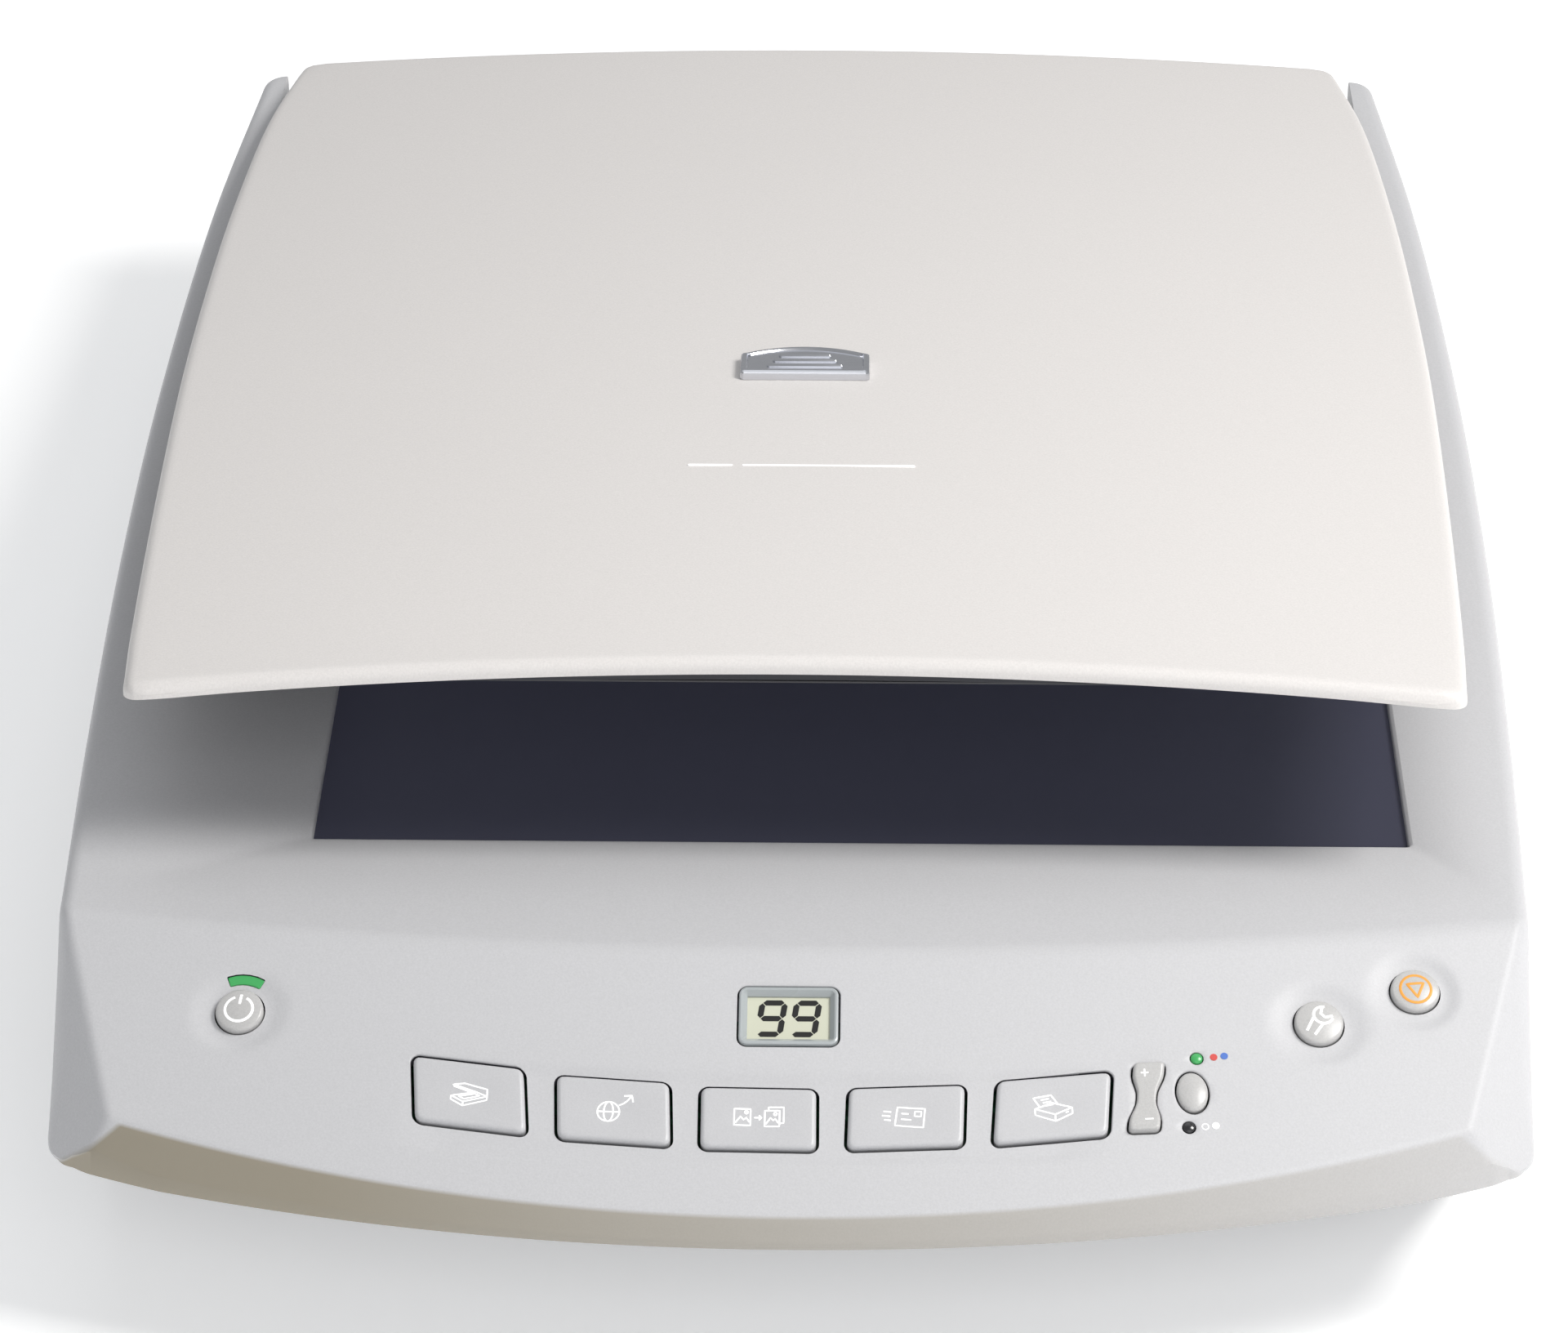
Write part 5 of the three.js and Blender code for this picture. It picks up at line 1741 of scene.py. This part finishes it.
# ---- carried nodes -----------------------------------------------------------------------------
CARRIED: dict[Finish, tuple[str, ...]] = {
    Finish.PLATEN: ("scan_glass",),
    Finish.STRIP: ("calibration_strip",),
    Finish.RUBBER: (
        "foot_front_left", "foot_front_right", "foot_rear_left", "foot_rear_right", "drive_belt"
    ),
    Finish.STEEL: (
        "case_screw_1",
        "case_screw_2",
        "case_screw_3",
        "case_screw_4",
        "usb_port",
        "guide_rod",
        "stepper_motor",
        "idler_bracket",
        "tension_spring",
        "hinge_pin_left",
        "hinge_pin_right",
    ),
    Finish.BOARD: ("main_board", "panel_board", "sensor_board"),
    Finish.DARK: ("power_jack", "carriage_housing", "lens_barrel"),
    Finish.BRASS: ("motor_gear",),
    Finish.NYLON: ("drive_gear", "idler_pulley", "rod_bush_1", "rod_bush_2", "belt_clamp"),
    Finish.MIRROR: ("mirror_1", "mirror_2", "mirror_3"),
    Finish.LAMP: ("lamp_tube",),
    Finish.PLINTH: ("hinge_post_left", "hinge_post_right"),
}


def dress_carried(nodes: dict[str, bpy.types.Object]) -> None:
    """Gives the frame's own nodes their finishes.

    Args:
        nodes: the nodes by name.
    """
    for look, names in CARRIED.items():
        for name in names:
            finish(nodes[name], look)
            log.info("%s dressed in %s", name, look.value.name)


# ---- studio ------------------------------------------------------------------------------------
@dataclass
class Studio:
    """The camera, the lights and the floor."""

    lens: float = 126.0
    eye: Colour = (0.01569, -1.05826, 0.65732)
    turn: Colour = (59.218, 0.130, 1.021)

    def camera(self) -> None:
        """Sets the camera up."""
        data = bpy.data.cameras.new("camera")
        data.lens, data.sensor_width = self.lens, 36.0
        obj = bpy.data.objects.new("camera", data)
        bpy.context.scene.collection.objects.link(obj)
        obj.location = self.eye
        obj.rotation_euler = [math.radians(a) for a in self.turn]
        bpy.context.scene.camera = obj

    def lamp(self, name: str, at: Colour, aim: Colour, size: float, power: float, tone: Colour) -> None:
        """Hangs a square soft light.

        Args:
            name: its name.
            at: where it hangs.
            aim: the point that it faces.
            size: how wide it is.
            power: its power in watts.
            tone: its colour.
        """
        data = bpy.data.lights.new(name, "AREA")
        data.shape, data.size, data.energy, data.color = "SQUARE", size, power, tone
        obj = bpy.data.objects.new(name, data)
        bpy.context.scene.collection.objects.link(obj)
        obj.location = at
        obj.rotation_euler = (Vector(aim) - Vector(at)).to_track_quat("-Z", "Y").to_euler()

    def world(self) -> None:
        """Fills the room with pale light."""
        world = bpy.data.worlds.new("room")
        world.use_nodes = True
        background = world.node_tree.nodes["Background"]
        background.inputs[0].default_value = (0.97, 0.985, 1.0, 1.0)
        background.inputs[1].default_value = 0.38
        bpy.context.scene.world = world
        bpy.context.scene.view_settings.view_transform = "Standard"

    def floor(self) -> None:
        """Lays the pale floor."""
        Bench.clear()
        bpy.ops.mesh.primitive_plane_add(size=14.0, location=(0, 0, 0))
        floor = bpy.context.object
        floor.name = floor.data.name = "floor"
        tree = Tree("floor_paper")
        paper = tree.mix(tree.noise(0.3), (0.93, 0.935, 0.94), (0.95, 0.95, 0.95))
        tree.set(Base_Color=paper, Roughness=0.9, Emission_Color=paper, Emission_Strength=0.34)
        floor.data.materials.append(tree.material)

    def build(self) -> None:
        """Sets up the whole studio."""
        self.camera()
        self.world()
        self.floor()
        middle = (0.0, 0.0, 0.05)
        self.lamp("key", (0.74, -0.28, 1.02), middle, 0.45, 13.0, (1.0, 0.985, 0.96))
        self.lamp("top", (-0.1, 0.7, 1.5), middle, 1.2, 3.0, (0.96, 0.975, 1.0))
        self.lamp("front", (0.2, -1.6, 0.9), middle, 1.2, 6.0, (0.98, 0.985, 1.0))


def main(frame: dict[str, Any]) -> None:
    """Builds the scanner round its frame.
    """
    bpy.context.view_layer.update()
    Studio().build()
    slope = Slope()
    case = UpperCase(slope)
    buttons, lights, display = Buttons(slope), Indicators(slope), Display(slope)
    shell = case.build([*buttons.holes(), *lights.holes(), *display.holes()])
    fit(shell, "case", (Finish.CASE, Finish.GAP), ["top_housing"])
    fit(LowerTray(case).build(), "case", Finish.PLINTH, ["bottom_housing"])
    buttons.build()
    lights.build()
    display.build()
    hinge = next(joint for joint in frame["joints"] if joint["name"] == "lid_hinge")
    Lid(Vector(hinge["pos_m"])).build()
    dress_carried(frame["nodes"])
    Bench.clear()


if __name__ == "__main__":
    logging.basicConfig(level=logging.INFO, format="%(name)s: %(message)s")
    main(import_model())
